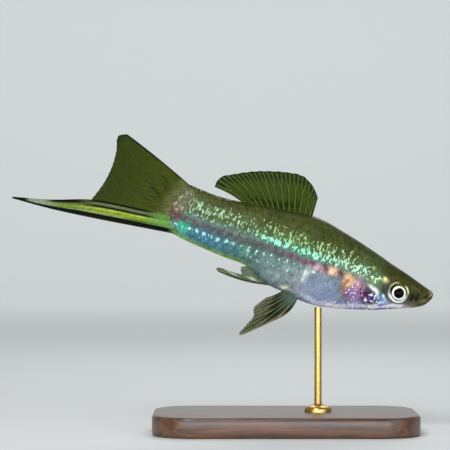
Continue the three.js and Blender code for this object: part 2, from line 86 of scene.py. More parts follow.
# along, up, size
NOSTRILS = [(2.7, 0.35, 0.2), (3.9, 0.75, 0.24)]
GILL_EDGE = [
    (12.9, 2.6), (13.1, 1.9), (14.9, 0.1), (15.8, -2.8), (15.2, -5.2), (13.4, -7.0),
    (11.2, -8.2), (9.4, -8.8),
]
COVER_EDGE = [
    (13.5, 0.2), (11.8, -0.6), (10.9, -2.4), (10.7, -4.4), (11.5, -6.0), (13.2, -5.9),
    (14.5, -4.6), (14.95, -2.7), (14.5, -0.9),
]
# bright flecks of painted glint run along the lower edge of the belly and throat
KEEL_LINE = [(26.8, -9.2), (24.0, -9.8), (21.0, -9.4), (18.4, -8.8), (15.4, -7.6), (12.2, -7.0)]
KEEL_LINE += [(8.6, -5.4), (6.2, -4.6)]


# Small helpers


def smoothstep(x, low, high):
    t = np.clip((x - low) / (high - low), 0.0, 1.0)
    return t * t * (3.0 - 2.0 * t)


def fade(x, low, high):
    """1 below the low end and 0 above the high one."""
    return 1 - smoothstep(x, low, high)


def strip(value, low, high, soft=0.02):
    """1 between two values, with soft ends."""
    return smoothstep(value, low - soft, low + soft) * fade(value, high - soft, high + soft)


def bell(value, middle, width):
    """1 at the middle, falling off softly on both sides."""
    return np.exp(-(((value - middle) / width) ** 2))


def curve(keys, values):
    """A smooth curve through samples: each slope is the mean of its neighbours' slopes."""
    keys, values = np.asarray(keys, float), np.asarray(values, float)
    slopes = np.diff(values) / np.diff(keys)
    ends = np.concatenate([slopes[:1], (slopes[:-1] + slopes[1:]) / 2, slopes[-1:]])

    def at(x):
        x = np.clip(x, keys[0], keys[-1])
        i = np.clip(np.searchsorted(keys, x, side="right") - 1, 0, len(keys) - 2)
        width = keys[i + 1] - keys[i]
        t = (x - keys[i]) / width
        return (
            values[i] * (2 * t**3 - 3 * t**2 + 1)
            + values[i + 1] * (3 * t**2 - 2 * t**3)
            + width * ends[i] * (t**3 - 2 * t**2 + t)
            + width * ends[i + 1] * (t**3 - t**2)
        )

    return at


back_at, belly_at, mid_at, half_at = (curve(STATIONS[:, 0], STATIONS[:, k]) for k in (1, 2, 3, 4))


def to_world(points):
    """Fish frame (along, side, up) in mm to the row frame in metres."""
    along, side, up = points[..., 0], points[..., 1], points[..., 2]
    x = -along * math.cos(PITCH) + up * math.sin(PITCH)
    z = along * math.sin(PITCH) + up * math.cos(PITCH)
    return (np.stack([x, side, z], -1) + SNOUT) * MM


def srgb(*parts):
    c = np.array(parts, float) / 255.0
    return np.where(c <= 0.04045, c / 12.92, ((c + 0.055) / 1.055) ** 2.4)


def polyline_distance(along, up, places, closed=False):
    """Distance from each point of the side view to a line through places."""
    places = np.array(places + places[:1] if closed else places)
    best = np.full(along.shape, 1e9)
    for start, end in zip(places[:-1], places[1:]):
        step = end - start
        t = ((along - start[0]) * step[0] + (up - start[1]) * step[1]) / (step @ step)
        t = np.clip(t, 0, 1)
        gap = np.hypot(along - start[0] - t * step[0], up - start[1] - t * step[1])
        best = np.minimum(best, gap)
    return best


def inside(along, up, places):
    """Whether each point of the side view lies inside a closed outline."""
    result = np.zeros(along.shape, bool)
    for (a0, u0), (a1, u1) in zip(places, places[1:] + places[:1]):
        crosses = (u0 > up) != (u1 > up)
        at = a0 + (up - u0) * (a1 - a0) / (u1 - u0 if u1 != u0 else 1e-9)
        result ^= crosses & (along < at)
    return result


def smooth_loop(places, count, closed=True):
    """Points along a smooth curve through a few places."""
    pts = np.array(places, float)
    if closed:
        pts = np.vstack([pts[-1:], pts, pts[:2]])
    else:
        pts = np.vstack([2 * pts[0] - pts[1], pts, 2 * pts[-1] - pts[-2]])
    spans = len(pts) - 3
    out = []
    for k in range(count):
        place = k / (count if closed else count - 1) * spans
        i = min(int(place), spans - 1)
        t = place - i
        p0, p1, p2, p3 = pts[i : i + 4]
        square = 2 * p0 - 5 * p1 + 4 * p2 - p3
        cube = 3 * p1 - p0 - 3 * p2 + p3
        out.append(tuple(0.5 * (2 * p1 + (p2 - p0) * t + square * t**2 + cube * t**3)))
    return out


COVER_LOOP = smooth_loop(COVER_EDGE, 40)
GILL_LINE = smooth_loop(GILL_EDGE, 40, closed=False)
CHEEK_LINE = smooth_loop([(1.9, -2.2), (4.2, -3.9), (7.0, -5.0), (9.6, -4.6), (10.2, -2.2)], 30, False)
JAW_LINE = smooth_loop([(1.6, -1.1), (2.4, -2.6), (4.6, -3.9)], 16, False)


def add_object(name, data):
    obj = bpy.data.objects.new(name, data)
    bpy.context.scene.collection.objects.link(obj)
    return obj


def add_mesh(name, points, faces, attributes=None, uv=None):
    """A smooth mesh object from world points in metres, with number, place or colour attributes."""
    mesh = bpy.data.meshes.new(name)
    mesh.from_pydata(points.tolist(), [], faces)
    mesh.shade_smooth()
    for key, values in (attributes or {}).items():
        values = np.asarray(values, np.float32)
        if values.ndim == 1:
            layer = mesh.attributes.new(key, "FLOAT", "POINT")
            layer.data.foreach_set("value", values)
        elif key == "fish":
            layer = mesh.attributes.new(key, "FLOAT_VECTOR", "POINT")
            layer.data.foreach_set("vector", values.ravel())
        else:
            layer = mesh.attributes.new(key, "FLOAT_COLOR", "POINT")
            deep = np.clip(values, 0, 1) ** DEPTH_OF_TONE
            full = np.concatenate([deep, np.ones((len(values), 1), np.float32)], 1)
            layer.data.foreach_set("color", full.ravel())
    if uv is not None:
        layer = mesh.uv_layers.new(name="OFBake")
        loops = np.zeros(len(mesh.loops), np.int32)
        mesh.loops.foreach_get("vertex_index", loops)
        layer.data.foreach_set("uv", np.asarray(uv, np.float32)[loops].ravel())
    return add_object(name, mesh)


def finish_piece(obj, slot, material, *nodes):
    obj.data.materials.append(material)
    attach(obj, "root")
    if nodes:
        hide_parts(*nodes)


def grid_faces(rows, columns, wrap, flip=False):
    """Quads of a grid whose index is row * columns + column."""
    faces = []
    last = columns if wrap else columns - 1
    for r in range(rows - 1):
        for c in range(last):
            a = r * columns + c
            b = r * columns + (c + 1) % columns
            quad = [a, b, b + columns, a + columns]
            faces.append(quad[::-1] if flip else quad)
    return faces


def plate_faces(rows, columns, flip=False):
    """Faces of a closed plate: the top, the underside, whose points follow, and the rim."""
    count = rows * columns
    top = grid_faces(rows, columns, False, flip)
    under = [[count + k for k in quad][::-1] for quad in top]
    rim = (
        list(range(columns))
        + [r * columns + columns - 1 for r in range(1, rows)]
        + list(range(count - 2, count - columns - 1, -1))
        + [r * columns for r in range(rows - 2, 0, -1)]
    )
    sides = [[p, q, q + count, p + count] for p, q in zip(rim, rim[1:] + rim[:1])]
    return top + under + [side[::-1] if flip else side for side in sides]


def uv_map(across, up):
    """Places of the texture map from two shares, with a thin margin."""
    return 0.01 + 0.98 * np.stack([across, up], 1)


def quarter_turn(steps):
    """Sine and cosine at even steps of a quarter turn."""
    turns = [math.radians(90 * k / steps) for k in range(steps + 1)]
    return [(math.sin(turn), math.cos(turn)) for turn in turns]


def tube_grid(places, sides):
    """Place along a tube and turn round it, at each of its points."""
    turns = np.arange(sides) / sides * 2 * math.pi
    return (grid.ravel() for grid in np.meshgrid(places, turns, indexing="ij"))


# The body's surface, as in the CAD, with the relief of the head


def body_section(along, angle):
    """Shares across and over the section, and its middle and reach there."""
    mid = mid_at(along)
    rise = np.cos(angle) >= 0
    reach = np.where(rise, back_at(along) - mid, mid - belly_at(along))
    top_power = 2.6 + (1.95 - 2.6) * smoothstep(along, 5, 24)
    power = np.where(rise, top_power, 2.1)
    across = np.sign(np.sin(angle)) * np.abs(np.sin(angle)) ** (2 / power)
    over = np.sign(np.cos(angle)) * np.abs(np.cos(angle)) ** (2 / power)
    return across, over, mid, reach


def lip_swell(along, up):
    """Share of the way along the gape, distance from its line, and height of the lips."""
    line = GAPE_CORNER - GAPE_TIP
    share = ((along - GAPE_TIP[0]) * line[0] + (up - GAPE_TIP[1]) * line[1]) / (line @ line)
    cross = (along - GAPE_TIP[0]) * line[1] - (up - GAPE_TIP[1]) * line[0]
    distance = np.abs(cross) / np.hypot(*line)
    return share, distance, 0.2 * fade(share, 0.8, 1.4) * bell(distance, 0, 0.5)


def from_eye(along, up):
    return np.hypot(along - EYE["along"], up - EYE["up"])


def relief(along, up):
    """Height of the head's forms over the plain body, by place in the side view."""
    share, distance, height = lip_swell(along, up)
    gape = bell(distance, 0, 0.11) * fade(share, 0.95, 1.15)
    height -= 0.5 * gape * smoothstep(share, -0.6, -0.2)
    # the fold that frames the upper lip
    fold = bell(distance, 0.75, 0.12) * fade(share, 0.7, 1.2)
    height -= 0.06 * fold * smoothstep(share, 0.0, 0.4)
    # the orbit and its rim
    radius = from_eye(along, up)
    height += 0.16 * bell(radius, 2.55, 0.24)
    height -= 1.7 * fade(radius, 2.0, 2.36)
    for place, at, size in NOSTRILS:
        gap = np.hypot(along - place, up - at)
        height -= 0.3 * bell(gap, 0, size)
        height += 0.07 * bell(gap, 1.6 * size, 0.5 * size)
    # the gill cover's plate, and the step at the gill opening
    edge = polyline_distance(along, up, COVER_LOOP, closed=True)
    within = inside(along, up, COVER_LOOP)
    height += np.where(within, 0.14 * smoothstep(edge, 0.05, 0.5), 0.0)
    height -= 0.09 * bell(edge, 0, 0.12)
    gill = polyline_distance(along, up, GILL_LINE)
    line = np.array(GILL_LINE)
    order = np.argsort(line[:, 1])
    behind = along > np.interp(up, line[order, 1], line[order, 0])
    open_part = fade(up, 0.4, 2.2) * smoothstep(along, 9.0, 11.5)
    step = np.where(behind, -0.28 * np.exp(-gill / 0.7), 0.12 * np.exp(-gill / 1.2))
    height += step * open_part
    # grooves of the cheek and the jaw bone
    height -= 0.05 * bell(polyline_distance(along, up, CHEEK_LINE), 0, 0.16)
    height -= 0.05 * bell(polyline_distance(along, up, JAW_LINE), 0, 0.14)
    return height


def body_points(along, angle, grow, with_relief=True):
    """Points of the body in the fish frame, and their place in the side view."""
    across, over, mid, reach = body_section(along, angle)
    up = mid + reach * over
    lift = grow + (relief(along, up) if with_relief else lip_swell(along, up)[2])
    arc = TAIL_ARC * smoothstep(along, BODY_LENGTH - 5, BODY_LENGTH) * over * over
    points = np.stack(
        [
            along - arc + grow * (2 * along / BODY_LENGTH - 1),
            (half_at(along) + lift) * across,
            mid + (reach + lift) * over,
        ],
        -1,
    )
    return points, up


# Markings and painted glints: one set of colours for the skin and the scales


def patch(along, up, at, size, tilt):
    """A soft oval at a place of the side view, from 0 to 1."""
    cos, sin = math.cos(math.radians(tilt)), math.sin(math.radians(tilt))
    a, u = along - at[0], up - at[1]
    x, y = a * cos + u * sin, -a * sin + u * cos
    return np.exp(-((x / size[0]) ** 2) - (y / size[1]) ** 2)


def waver(along, up, scale, seed):
    """A smooth wandering value from -1 to 1, the same for skin and scales."""
    value = np.zeros(np.shape(along))
    local = np.random.default_rng(seed)
    for _ in range(7):
        direction = local.uniform(0, 2 * math.pi)
        rate = local.uniform(0.6, 1.7) * 2 * math.pi / scale
        phase = local.uniform(0, 2 * math.pi)
        value += np.sin(rate * (along * math.cos(direction) + up * math.sin(direction)) + phase)
    return value / 4.0


def mix(colour, other, share):
    return colour + (other - colour) * np.clip(share, 0, 1)[:, None]


def painted(ground, *layers):
    """A ground tone, with more tones laid over it, each by its share at every point."""
    colour = srgb(*ground)
    for tone, share in layers:
        colour = mix(colour, srgb(*tone), share)
    return colour


# what is painted over the ground colours: at, size, tilt, colour, strength
MARKS = [
    # belly and lower flank
    ((27.0, -7.0), (7.0, 3.2), -4, (152, 160, 162), 0.85),
    ((23.5, -5.6), (4.2, 2.1), -6, (158, 172, 190), 0.8),
    ((34.0, -6.4), (5.0, 2.4), 6, (130, 148, 150), 0.7),
    ((20.0, -8.6), (6.0, 1.0), 8, (168, 172, 216), 0.75),
    ((26.5, -9.8), (4.0, 0.8), 0, (150, 154, 200), 0.6),
    ((28.1, -4.9), (0.5, 1.7), 6, (204, 208, 206), 0.7),
    ((28.6, -7.8), (1.6, 1.5), 0, (172, 164, 182), 0.6),
    ((28.3, -4.2), (0.28, 0.55), 0, (240, 248, 242), 0.95),
    ((28.4, -5.9), (0.3, 0.4), 0, (240, 248, 242), 0.95),
    ((26.6, -3.5), (0.4, 0.25), 20, (236, 240, 236), 0.9),
    ((24.4, -3.6), (0.6, 0.2), 0, (224, 214, 206), 0.8),
    ((31.6, -8.8), (1.0, 0.4), -10, (234, 234, 214), 0.95),
    # behind the gill cover
    ((16.7, -3.4), (1.5, 1.8), 0, (182, 126, 150), 0.85),
    ((18.3, -5.6), (1.1, 1.1), 0, (128, 78, 132), 0.85),
    ((15.9, -5.6), (1.5, 1.4), 0, (164, 122, 186), 0.8),
    # red-brown and orange blotches where the stripe begins
    ((25.7, -2.4), (1.5, 0.7), 0, (196, 154, 172), 0.85),
    ((22.7, -2.0), (1.3, 0.9), 0, (226, 184, 158), 0.9),
    ((19.2, -2.8), (1.2, 1.3), 20, (226, 182, 134), 0.9),
    ((24.4, -1.9), (0.6, 0.8), -25, (106, 34, 34), 0.95),
    ((21.0, -1.9), (0.7, 0.9), -35, (84, 40, 30), 0.95),
    # gill cover
    ((14.3, -4.2), (0.85, 1.9), 10, (84, 26, 70), 0.95),
    ((12.9, -4.8), (0.85, 1.5), 0, (74, 50, 108), 0.9),
    ((13.1, -2.75), (1.25, 0.36), 20, (244, 248, 240), 0.95),
    ((12.0, -3.6), (0.34, 0.8), -28, (240, 246, 244), 0.95),
    ((10.5, -4.5), (1.1, 0.8), 10, (112, 164, 216), 0.9),
    ((9.9, -6.0), (1.6, 0.7), 0, (98, 108, 196), 0.85),
    # white and lilac streaks along the lower edge of the throat and belly: partly the skin's own
    # silver, partly painted reflection
    ((12.4, -6.9), (1.5, 0.45), -22, (255, 252, 255), 1.0),
    ((15.9, -7.8), (1.8, 0.5), -13, (206, 206, 255), 1.0),
    ((20.4, -9.2), (2.2, 0.5), -8, (252, 248, 255), 1.0),
    ((23.2, -9.9), (1.7, 0.4), -2, (196, 192, 246), 0.9),
    ((25.9, -9.3), (1.5, 0.5), 10, (246, 242, 255), 1.0),
    ((13.8, -1.0), (1.6, 1.0), 0, (104, 128, 70), 0.8),
    ((10.6, -1.9), (0.6, 1.3), 0, (56, 58, 44), 0.8),
    # cheek and throat
    # white streak under the eye: partly the skin's own silver, partly painted reflection
    ((6.8, -4.65), (2.2, 0.6), -14, (255, 255, 255), 1.0),
    ((10.4, -3.9), (0.6, 0.25), 50, (236, 246, 255), 0.95),
    ((10.9, -5.4), (0.7, 0.25), -40, (226, 238, 255), 0.95),
    ((9.0, -5.6), (0.7, 0.3), -10, (240, 244, 255), 0.95),
    ((9.6, -0.9), (0.5, 0.9), 30, (48, 50, 34), 0.7),
    ((4.6, -3.4), (1.6, 0.7), -24, (112, 104, 92), 0.8),
    ((11.3, -0.1), (0.6, 0.42), 20, (226, 220, 150), 0.95),
    ((14.5, 1.6), (0.35, 0.3), 20, (206, 206, 140), 0.8),
    # snout marks and lips
    ((0.7, 0.15), (0.4, 0.7), 20, (176, 172, 146), 0.9),
    ((1.7, -1.9), (0.9, 0.3), -30, (136, 128, 98), 0.8),
    ((4.5, -2.1), (0.42, 1.0), 8, (8, 4, 0), 1.0),
    ((3.4, -1.6), (0.4, 0.9), 8, (12, 6, 0), 1.0),
    ((1.9, -2.6), (0.8, 0.4), -30, (92, 84, 56), 0.7),
    # tail stalk
    ((56.9, -2.8), (1.5, 1.7), 0, (34, 168, 136), 0.95),
    ((52.2, -3.6), (3.0, 1.5), 0, (70, 124, 156), 0.8),
    ((47.4, -3.9), (2.6, 1.4), 0, (78, 122, 152), 0.6),
    ((59.4, -0.6), (1.2, 2.0), 0, (116, 74, 74), 0.85),
    ((58.6, 3.0), (1.6, 2.4), 0, (112, 112, 92), 0.7),
]
# where the skin gets painted glints outside their rows: at, size, tilt, strength
BRIGHT_PLACES = [
    ((58.6, 2.0), (2.4, 3.4), 0, 0.62),
    ((14.6, -5.2), (5.4, 2.6), 0, 0.72),
    ((13.4, -0.9), (2.4, 1.1), -12, 0.8),
    ((21.0, -9.1), (7.0, 0.9), -4, 0.9),
]
# where it gets hardly any painted glint, behind the pectoral fin and on the maroon blotch
DULL_PLACES = [((24.4, -5.8), (4.2, 2.0), -6, 0.95), ((14.3, -4.2), (1.1, 1.8), 10, 0.8)]


def ground_colour(along, up):
    """Colour of the body under its blotches and its stripe."""
    high = up + 0.35 * waver(along, up, 6.0, 3)
    head = fade(along, 9.5, 13.5)
    ridge = smoothstep(up, back_at(along) - 1.2, back_at(along) - 0.1)
    mint = bell(up, 0.2, 1.3) * smoothstep(along, 14, 17) * fade(along, 36, 46)
    low_edge = smoothstep(-up, -belly_at(along) - 1.0, -belly_at(along) - 0.2)
    return painted(
        (96, 118, 112),
        ((82, 124, 114), smoothstep(along, 34, 46) * smoothstep(-high, 1.5, 3)),
        # the olive back comes down over the upper flank
        ((84, 100, 62), smoothstep(high, -1.2, 1.2)),
        ((76, 84, 42), smoothstep(high, 1.6, 4.6)),
        ((50, 58, 22), 0.4 * ridge),
        # mint ground in uneven columns between the glints
        ((88, 140, 110), 0.6 * mint * (0.6 + 0.5 * waver(along, 0.3 * up, 2.2, 41))),
        # the head is olive above and grey below
        ((84, 80, 50), head),
        ((72, 72, 30), head * smoothstep(high, -3.4, -0.8)),
        ((60, 66, 24), head * smoothstep(high, 0.4, 2.4)),
        ((92, 92, 72), head * fade(high, -4.6, -2.8) * 0.8),
        # yellow-green under edge of the tail stalk
        ((142, 176, 92), 0.85 * (low_edge * smoothstep(along, 38, 43))),
    )


def side_stripe(along, up):
    """Strength and colour of the stripe: maroon in front, a broad dusky band behind."""
    line = -1.75 + 0.22 * waver(along, 0 * up, 5.0, 8) + 0.5 * smoothstep(along, 52, 59)
    width = 0.5 + 0.4 * smoothstep(along, 29, 36) + 0.22 * waver(along, up, 2.0, 21)
    stripe = np.exp(-(((up - line) / width) ** 4)) * smoothstep(along, 26.4, 27.2)
    rear, end = smoothstep(along, 30, 35), smoothstep(along, 53, 57)
    tone = painted((112, 38, 78), ((78, 76, 78), rear), ((84, 58, 62), end))
    return stripe, tone


def beads(along, start, size):
    """One painted glint on each scale of a row."""
    return bell((along + start) % SCALE_PITCH, SCALE_PITCH / 2, size)


def glint_strength(along, up, stripe):
    """How strongly the scales flash: the strength of the painted glints."""
    band = bell(up, 0.3, 1.3) * smoothstep(along, 13, 16)
    band *= 0.94 - 0.5 * smoothstep(along, 34, 46)
    upper = bell(up, 2.0, 1.9) * smoothstep(along, 15, 20) * 0.84
    upper *= 0.8 + 0.3 * np.cos((along + 0.15 * up) * 2 * math.pi / SCALE_PITCH)
    lower = bell(up, -4.0, 1.5) * smoothstep(along, 26, 30) * 0.22
    rows = 1.5 * bell(up, -3.2, 0.45) * smoothstep(along, 27, 31) * beads(along, 0.4, 0.45)
    rows += 1.3 * bell(up, -5.0, 0.4) * strip(along, 31, 42, 1.5) * beads(along, 1.26, 0.4)
    back = back_at(along)
    ridge_row = smoothstep(up, back - 0.9, back - 0.3) * smoothstep(along, 46, 50) * 0.55
    keel = bell(polyline_distance(along, up, KEEL_LINE), 0, 0.42)
    keel *= 1.3 + 0.7 * waver(along, up, 1.7, 51)
    spots = [amount * patch(along, up, at, size, tilt) for at, size, tilt, amount in BRIGHT_PLACES]
    strength = np.maximum.reduce([band, upper, lower, rows, keel, ridge_row, *spots])
    strength *= 1 - np.clip(stripe, 0, 1) * 0.9
    for at, size, tilt, amount in DULL_PLACES:
        strength *= 1 - amount * patch(along, up, at, size, tilt)
    return strength


# colour of the painted glints, by place on the body
def glint_colour(along, up):
    return painted(
        (158, 188, 130),
        ((146, 222, 196), bell(up, -0.1, 1.2)),
        ((206, 220, 190), smoothstep(-along, -30, -18) * 0.55),
        ((164, 190, 168), smoothstep(along, 36, 48) * 0.75),
        ((166, 208, 198), smoothstep(-up, 2.0, 2.8)),
        ((240, 234, 252), smoothstep(-up, 2.6, 4.6) * fade(along, 25, 29)),
        ((152, 152, 138), smoothstep(along, 55, 58) * smoothstep(up, -1, 0)),
    )


def markings(along, up):
    """Colour, glint colour and glint strength by place on the body."""
    colour = ground_colour(along, up)
    ragged = 1 + 0.5 * waver(along, up, 1.2, 11)
    for at, size, tilt, tone, strength in MARKS:
        amount = patch(along, up, at, size, tilt) * ragged
        colour = mix(colour, srgb(*tone), strength * np.clip(1.25 * amount, 0, 1))
    stripe, tone = side_stripe(along, up)
    torn = np.clip(0.75 + 0.45 * waver(along, up, 1.5, 31), 0.25, 1)
    colour = mix(colour, tone, stripe * torn)
    return colour, glint_colour(along, up), glint_strength(along, up, stripe)


# Materials


def plug(tree, socket, value):
    """Give a socket a number, place or colour, or link a node's output to it."""
    if isinstance(value, (int, float)):
        socket.default_value = value
    elif isinstance(value, (tuple, np.ndarray)):
        socket.default_value = (*value, 1.0) if socket.type == "RGBA" else value
    else:
        tree.links.new(value, socket)


def plug_all(tree, shader, sockets):
    for key, value in sockets.items():
        plug(tree, shader.inputs[key], value)


def material(name):
    mat = bpy.data.materials.new(name)
    mat.use_nodes = True
    return mat, mat.node_tree, mat.node_tree.nodes["Principled BSDF"]


def node(tree, kind, sockets, **settings):
    """A new node with its settings, and its sockets by name or number."""
    made = tree.nodes.new(kind)
    for key, value in settings.items():
        setattr(made, key, value)
    plug_all(tree, made, sockets)
    return made


def attribute(tree, name, output="Color"):
    return node(tree, "ShaderNodeAttribute", {}, attribute_name=name).outputs[output]


def noise(tree, place, scale, detail=3.0, rough=0.6, distortion=0.0):
    sockets = {"Vector": place, "Scale": scale, "Detail": detail, "Roughness": rough}
    made = node(tree, "ShaderNodeTexNoise", {**sockets, "Distortion": distortion})
    return made.outputs["Fac"]


def row_place(tree):
    """Place in the row frame, in metres."""
    return tree.nodes.new("ShaderNodeTexCoord").outputs["Object"]


def stretched(tree, place, rates):
    return node(tree, "ShaderNodeMapping", {"Vector": place, "Scale": rates}).outputs["Vector"]


def math_node(tree, operation, *values):
    return node(tree, "ShaderNodeMath", dict(enumerate(values)), operation=operation).outputs[0]


def ramp(tree, value, low, high, to_low=0.0, to_high=1.0):
    """A smooth step from one value to another as the input goes from low to high."""
    sockets = {"Value": value, "From Min": low, "From Max": high, "To Min": to_low, "To Max": to_high}
    made = node(tree, "ShaderNodeMapRange", sockets, interpolation_type="SMOOTHSTEP")
    return made.outputs["Result"]


def blend_colour(tree, share, first, second, mode="MIX"):
    sockets = {0: share, 6: first, 7: second}
    return node(tree, "ShaderNodeMix", sockets, data_type="RGBA", blend_type=mode).outputs[2]


def shaded(tree, colour, factor):
    return blend_colour(tree, 1.0, colour, factor, "MULTIPLY")


def bump(tree, height, strength, distance):
    """A normal that follows a height, with its reach in metres."""
    sockets = {"Height": height, "Strength": strength, "Distance": distance}
    return node(tree, "ShaderNodeBump", sockets).outputs["Normal"]


def skin_material(name, metal, rough, rate, tall):
    """Painted skin: mottled ground, fine dark specks where it is dark, and jagged glints.

    rate is how fine the glints are, and tall is how fast they change up the body.
    """
    mat, tree, shader = material(name)
    paint, place = attribute(tree, "paint"), attribute(tree, "fish", "Vector")
    glint = attribute(tree, "glint", "Fac")
    ragged = noise(tree, stretched(tree, place, (1.0, 1.0, tall)), rate, 1.0, 0.5)
    specks = noise(tree, place, 4.0, 1.0, 0.5)
    broad = noise(tree, place, 0.7)
    # a fleck of painted glint shows where the noise is high, and more of them where the glint is strong
    torn = math_node(tree, "ADD", ragged, math_node(tree, "MULTIPLY", glint, 0.3))
    flash = math_node(tree, "MULTIPLY", ramp(tree, torn, 0.69, 0.79), ramp(tree, glint, 0.05, 0.25))
    mottled = shaded(tree, paint, ramp(tree, broad, 0.32, 0.68, 0.78, 1.2))
    luma = node(tree, "ShaderNodeRGBToBW", {"Color": paint}).outputs["Val"]
    dark = ramp(tree, luma, 0.12, 0.32, 1.0, 0.15)
    dots = math_node(tree, "MULTIPLY", ramp(tree, specks, 0.56, 0.7, 0.0, 0.3), dark)
    dotted = shaded(tree, mottled, math_node(tree, "SUBTRACT", 1.0, dots))
    sockets = {
        # the painted glints lay their own colour over the skin's
        "Base Color": blend_colour(tree, flash, dotted, attribute(tree, "glint_tint")),
        "Metallic": ramp(tree, flash, 0.0, 1.0, metal, 0.15),
        "Roughness": ramp(tree, broad, 0.3, 0.7, rough - 0.05, rough + 0.07),
        "Specular IOR Level": 0.13,
        "Coat Weight": 0.07,
        "Coat Roughness": 0.15,
        "Normal": bump(tree, ragged, 0.2, 0.00003),
    }
    plug_all(tree, shader, sockets)
    return mat


def fin_material(name):
    """Thin membrane: paint and clearness come with the mesh; the rays' joints are fine bands."""
    mat, tree, shader = material(name)
    mottle = noise(tree, row_place(tree), 1400.0)
    bands = math_node(tree, "MULTIPLY", attribute(tree, "reach", "Fac"), 2 * math.pi / JOINT_PITCH)
    joint = math_node(
        tree,
        "MULTIPLY",
        ramp(tree, math_node(tree, "SINE", bands), 0.6, 1.0),
        attribute(tree, "ray", "Fac"),
    )
    faint = math_node(tree, "MULTIPLY", joint, 0.35)
    jointed = blend_colour(tree, faint, attribute(tree, "paint"), srgb(50, 48, 24))
    sockets = {
        "Base Color": shaded(tree, jointed, ramp(tree, mottle, 0.3, 0.7, 0.8, 1.15)),
        "Alpha": attribute(tree, "solid", "Fac"),
        "Roughness": 0.4,
        "Specular IOR Level": 0.04,
        "Coat Weight": 0.02,
        "Coat Roughness": 0.25,
        "Normal": bump(tree, mottle, 0.15, 0.00003),
    }
    plug_all(tree, shader, sockets)
    return mat


SKIN = skin_material("skin", 0.05, 0.36, 2.1, 0.7)
COAT = skin_material("scales", 0.08, 0.34, 2.8, 0.42)
FIN = fin_material("fin_membrane")


# Skin

# radius, half width, direction (0 ahead, 90 up), half angle, colour, strength
EYE_ARCS = [
    (1.72, 0.3, 75, 50, (104, 102, 52), 0.9),
    (1.96, 0.3, 255, 78, (250, 252, 255), 1.0),
    (1.74, 0.24, 335, 34, (226, 222, 218), 0.95),
    (1.6, 0.12, 30, 34, (58, 50, 24), 0.85),
    (1.76, 0.28, 166, 42, (12, 12, 4), 1.0),
    (1.66, 0.1, 270, 12, (90, 100, 98), 0.8),
    (2.12, 0.22, 36, 26, (240, 240, 186), 1.0),
    (2.26, 0.16, 138, 34, (240, 240, 192), 1.0),
    (2.2, 0.16, 200, 26, (226, 234, 230), 0.8),
    (2.36, 0.1, 300, 50, (20, 22, 20), 0.9),
    (2.5, 0.1, 186, 36, (34, 40, 30), 0.7),
]


def eye_arcs(colour, radius, turn):
    """Paint the partial rings round the pupil, on the eyeball and on its rim."""
    for at, half, toward, spread, tone, strength in EYE_ARCS:
        turned = (np.degrees(turn) - toward + 180) % 360 - 180
        amount = np.exp(-(((radius - at) / half) ** 4) - (turned / spread) ** 4)
        colour = mix(colour, srgb(*tone), amount * strength)
    return colour


def build_skin():
    places = np.concatenate(
        [
            np.arange(0, 3.0, 0.06),
            np.arange(3.0, 16.5, 0.11),
            np.arange(16.5, BODY_LENGTH - 0.4, 0.32),
            [BODY_LENGTH],
        ]
    )
    sides = 176
    along, angle = tube_grid(places, sides)
    points, up = body_points(along, angle, -SKIN_DEPTH)
    colour, glint_tint, glint = markings(along, up)
    radius = from_eye(along, up)
    colour = mix(colour, srgb(66, 64, 34), fade(radius, 2.3, 2.6))
    colour = eye_arcs(colour, radius, np.arctan2(up - EYE["up"], EYE["along"] - along))
    share, distance, _ = lip_swell(along, up)
    # painted shade: the slit of the mouth is painted almost black
    gape = bell(distance, 0, 0.16) * fade(share, 0.9, 1.15)
    colour = mix(colour, srgb(24, 16, 10), gape * 0.9)
    # painted shade: a dark purple line along the gill opening, under the edge of the cover
    gill = polyline_distance(along, up, GILL_LINE)
    colour = mix(colour, srgb(60, 34, 52), bell(gill, 0, 0.16) * (up < 0.6) * 0.8)
    # painted shade: each nostril's pit is painted almost black
    for place, at, size in NOSTRILS:
        gap = np.hypot(along - place, up - at)
        colour = mix(colour, srgb(14, 12, 8), 0.95 * bell(gap, 0, size))
    glint = glint * (0.9 - 0.45 * smoothstep(along, 13.5, 17)) * (radius >= 2.7)
    world = to_world(points)
    faces = grid_faces(len(places), sides, True)
    for ring, flip in ((0, False), (len(places) - 1, True)):
        start = ring * sides
        world = np.vstack([world, world[start : start + sides].mean(0)])
        hub = len(world) - 1
        for k in range(sides):
            a, b = start + k, start + (k + 1) % sides
            faces.append([a, b, hub] if flip else [b, a, hub])
        colour, glint_tint = (np.vstack([c, c[start]]) for c in (colour, glint_tint))
        glint = np.append(glint, 0.0)
        along, angle = np.append(along, places[ring]), np.append(angle, math.pi)
    uv = uv_map(along / BODY_LENGTH, angle / (2 * math.pi))
    place = np.stack([along, world[:, 1] / MM, np.append(up, up[[0, -1]])], 1)
    attributes = {"paint": colour, "glint_tint": glint_tint, "glint": glint, "fish": place}
    skin = add_mesh("skin", world, faces, attributes, uv)
    finish_piece(
        skin, "skin", SKIN, "head", "trunk", "tail_stalk", "gill_cover_left", "gill_cover_right"
    )


# Scales


def girth_table():
    """Angle at each share of the way from back to belly, along the body."""
    places = np.linspace(SCALES_FROM, BODY_LENGTH, 106)
    angles = np.linspace(0, math.pi, 181)
    shares = np.linspace(0, 1, 121)
    table = []
    for place in places:
        points, _ = body_points(np.full(181, place), angles, 0.0, with_relief=False)
        run = np.concatenate([[0], np.cumsum(np.linalg.norm(np.diff(points, axis=0), axis=1))])
        table.append(np.interp(shares, run / run[-1], angles))
    return np.array(table)


GIRTH_ANGLES = girth_table()


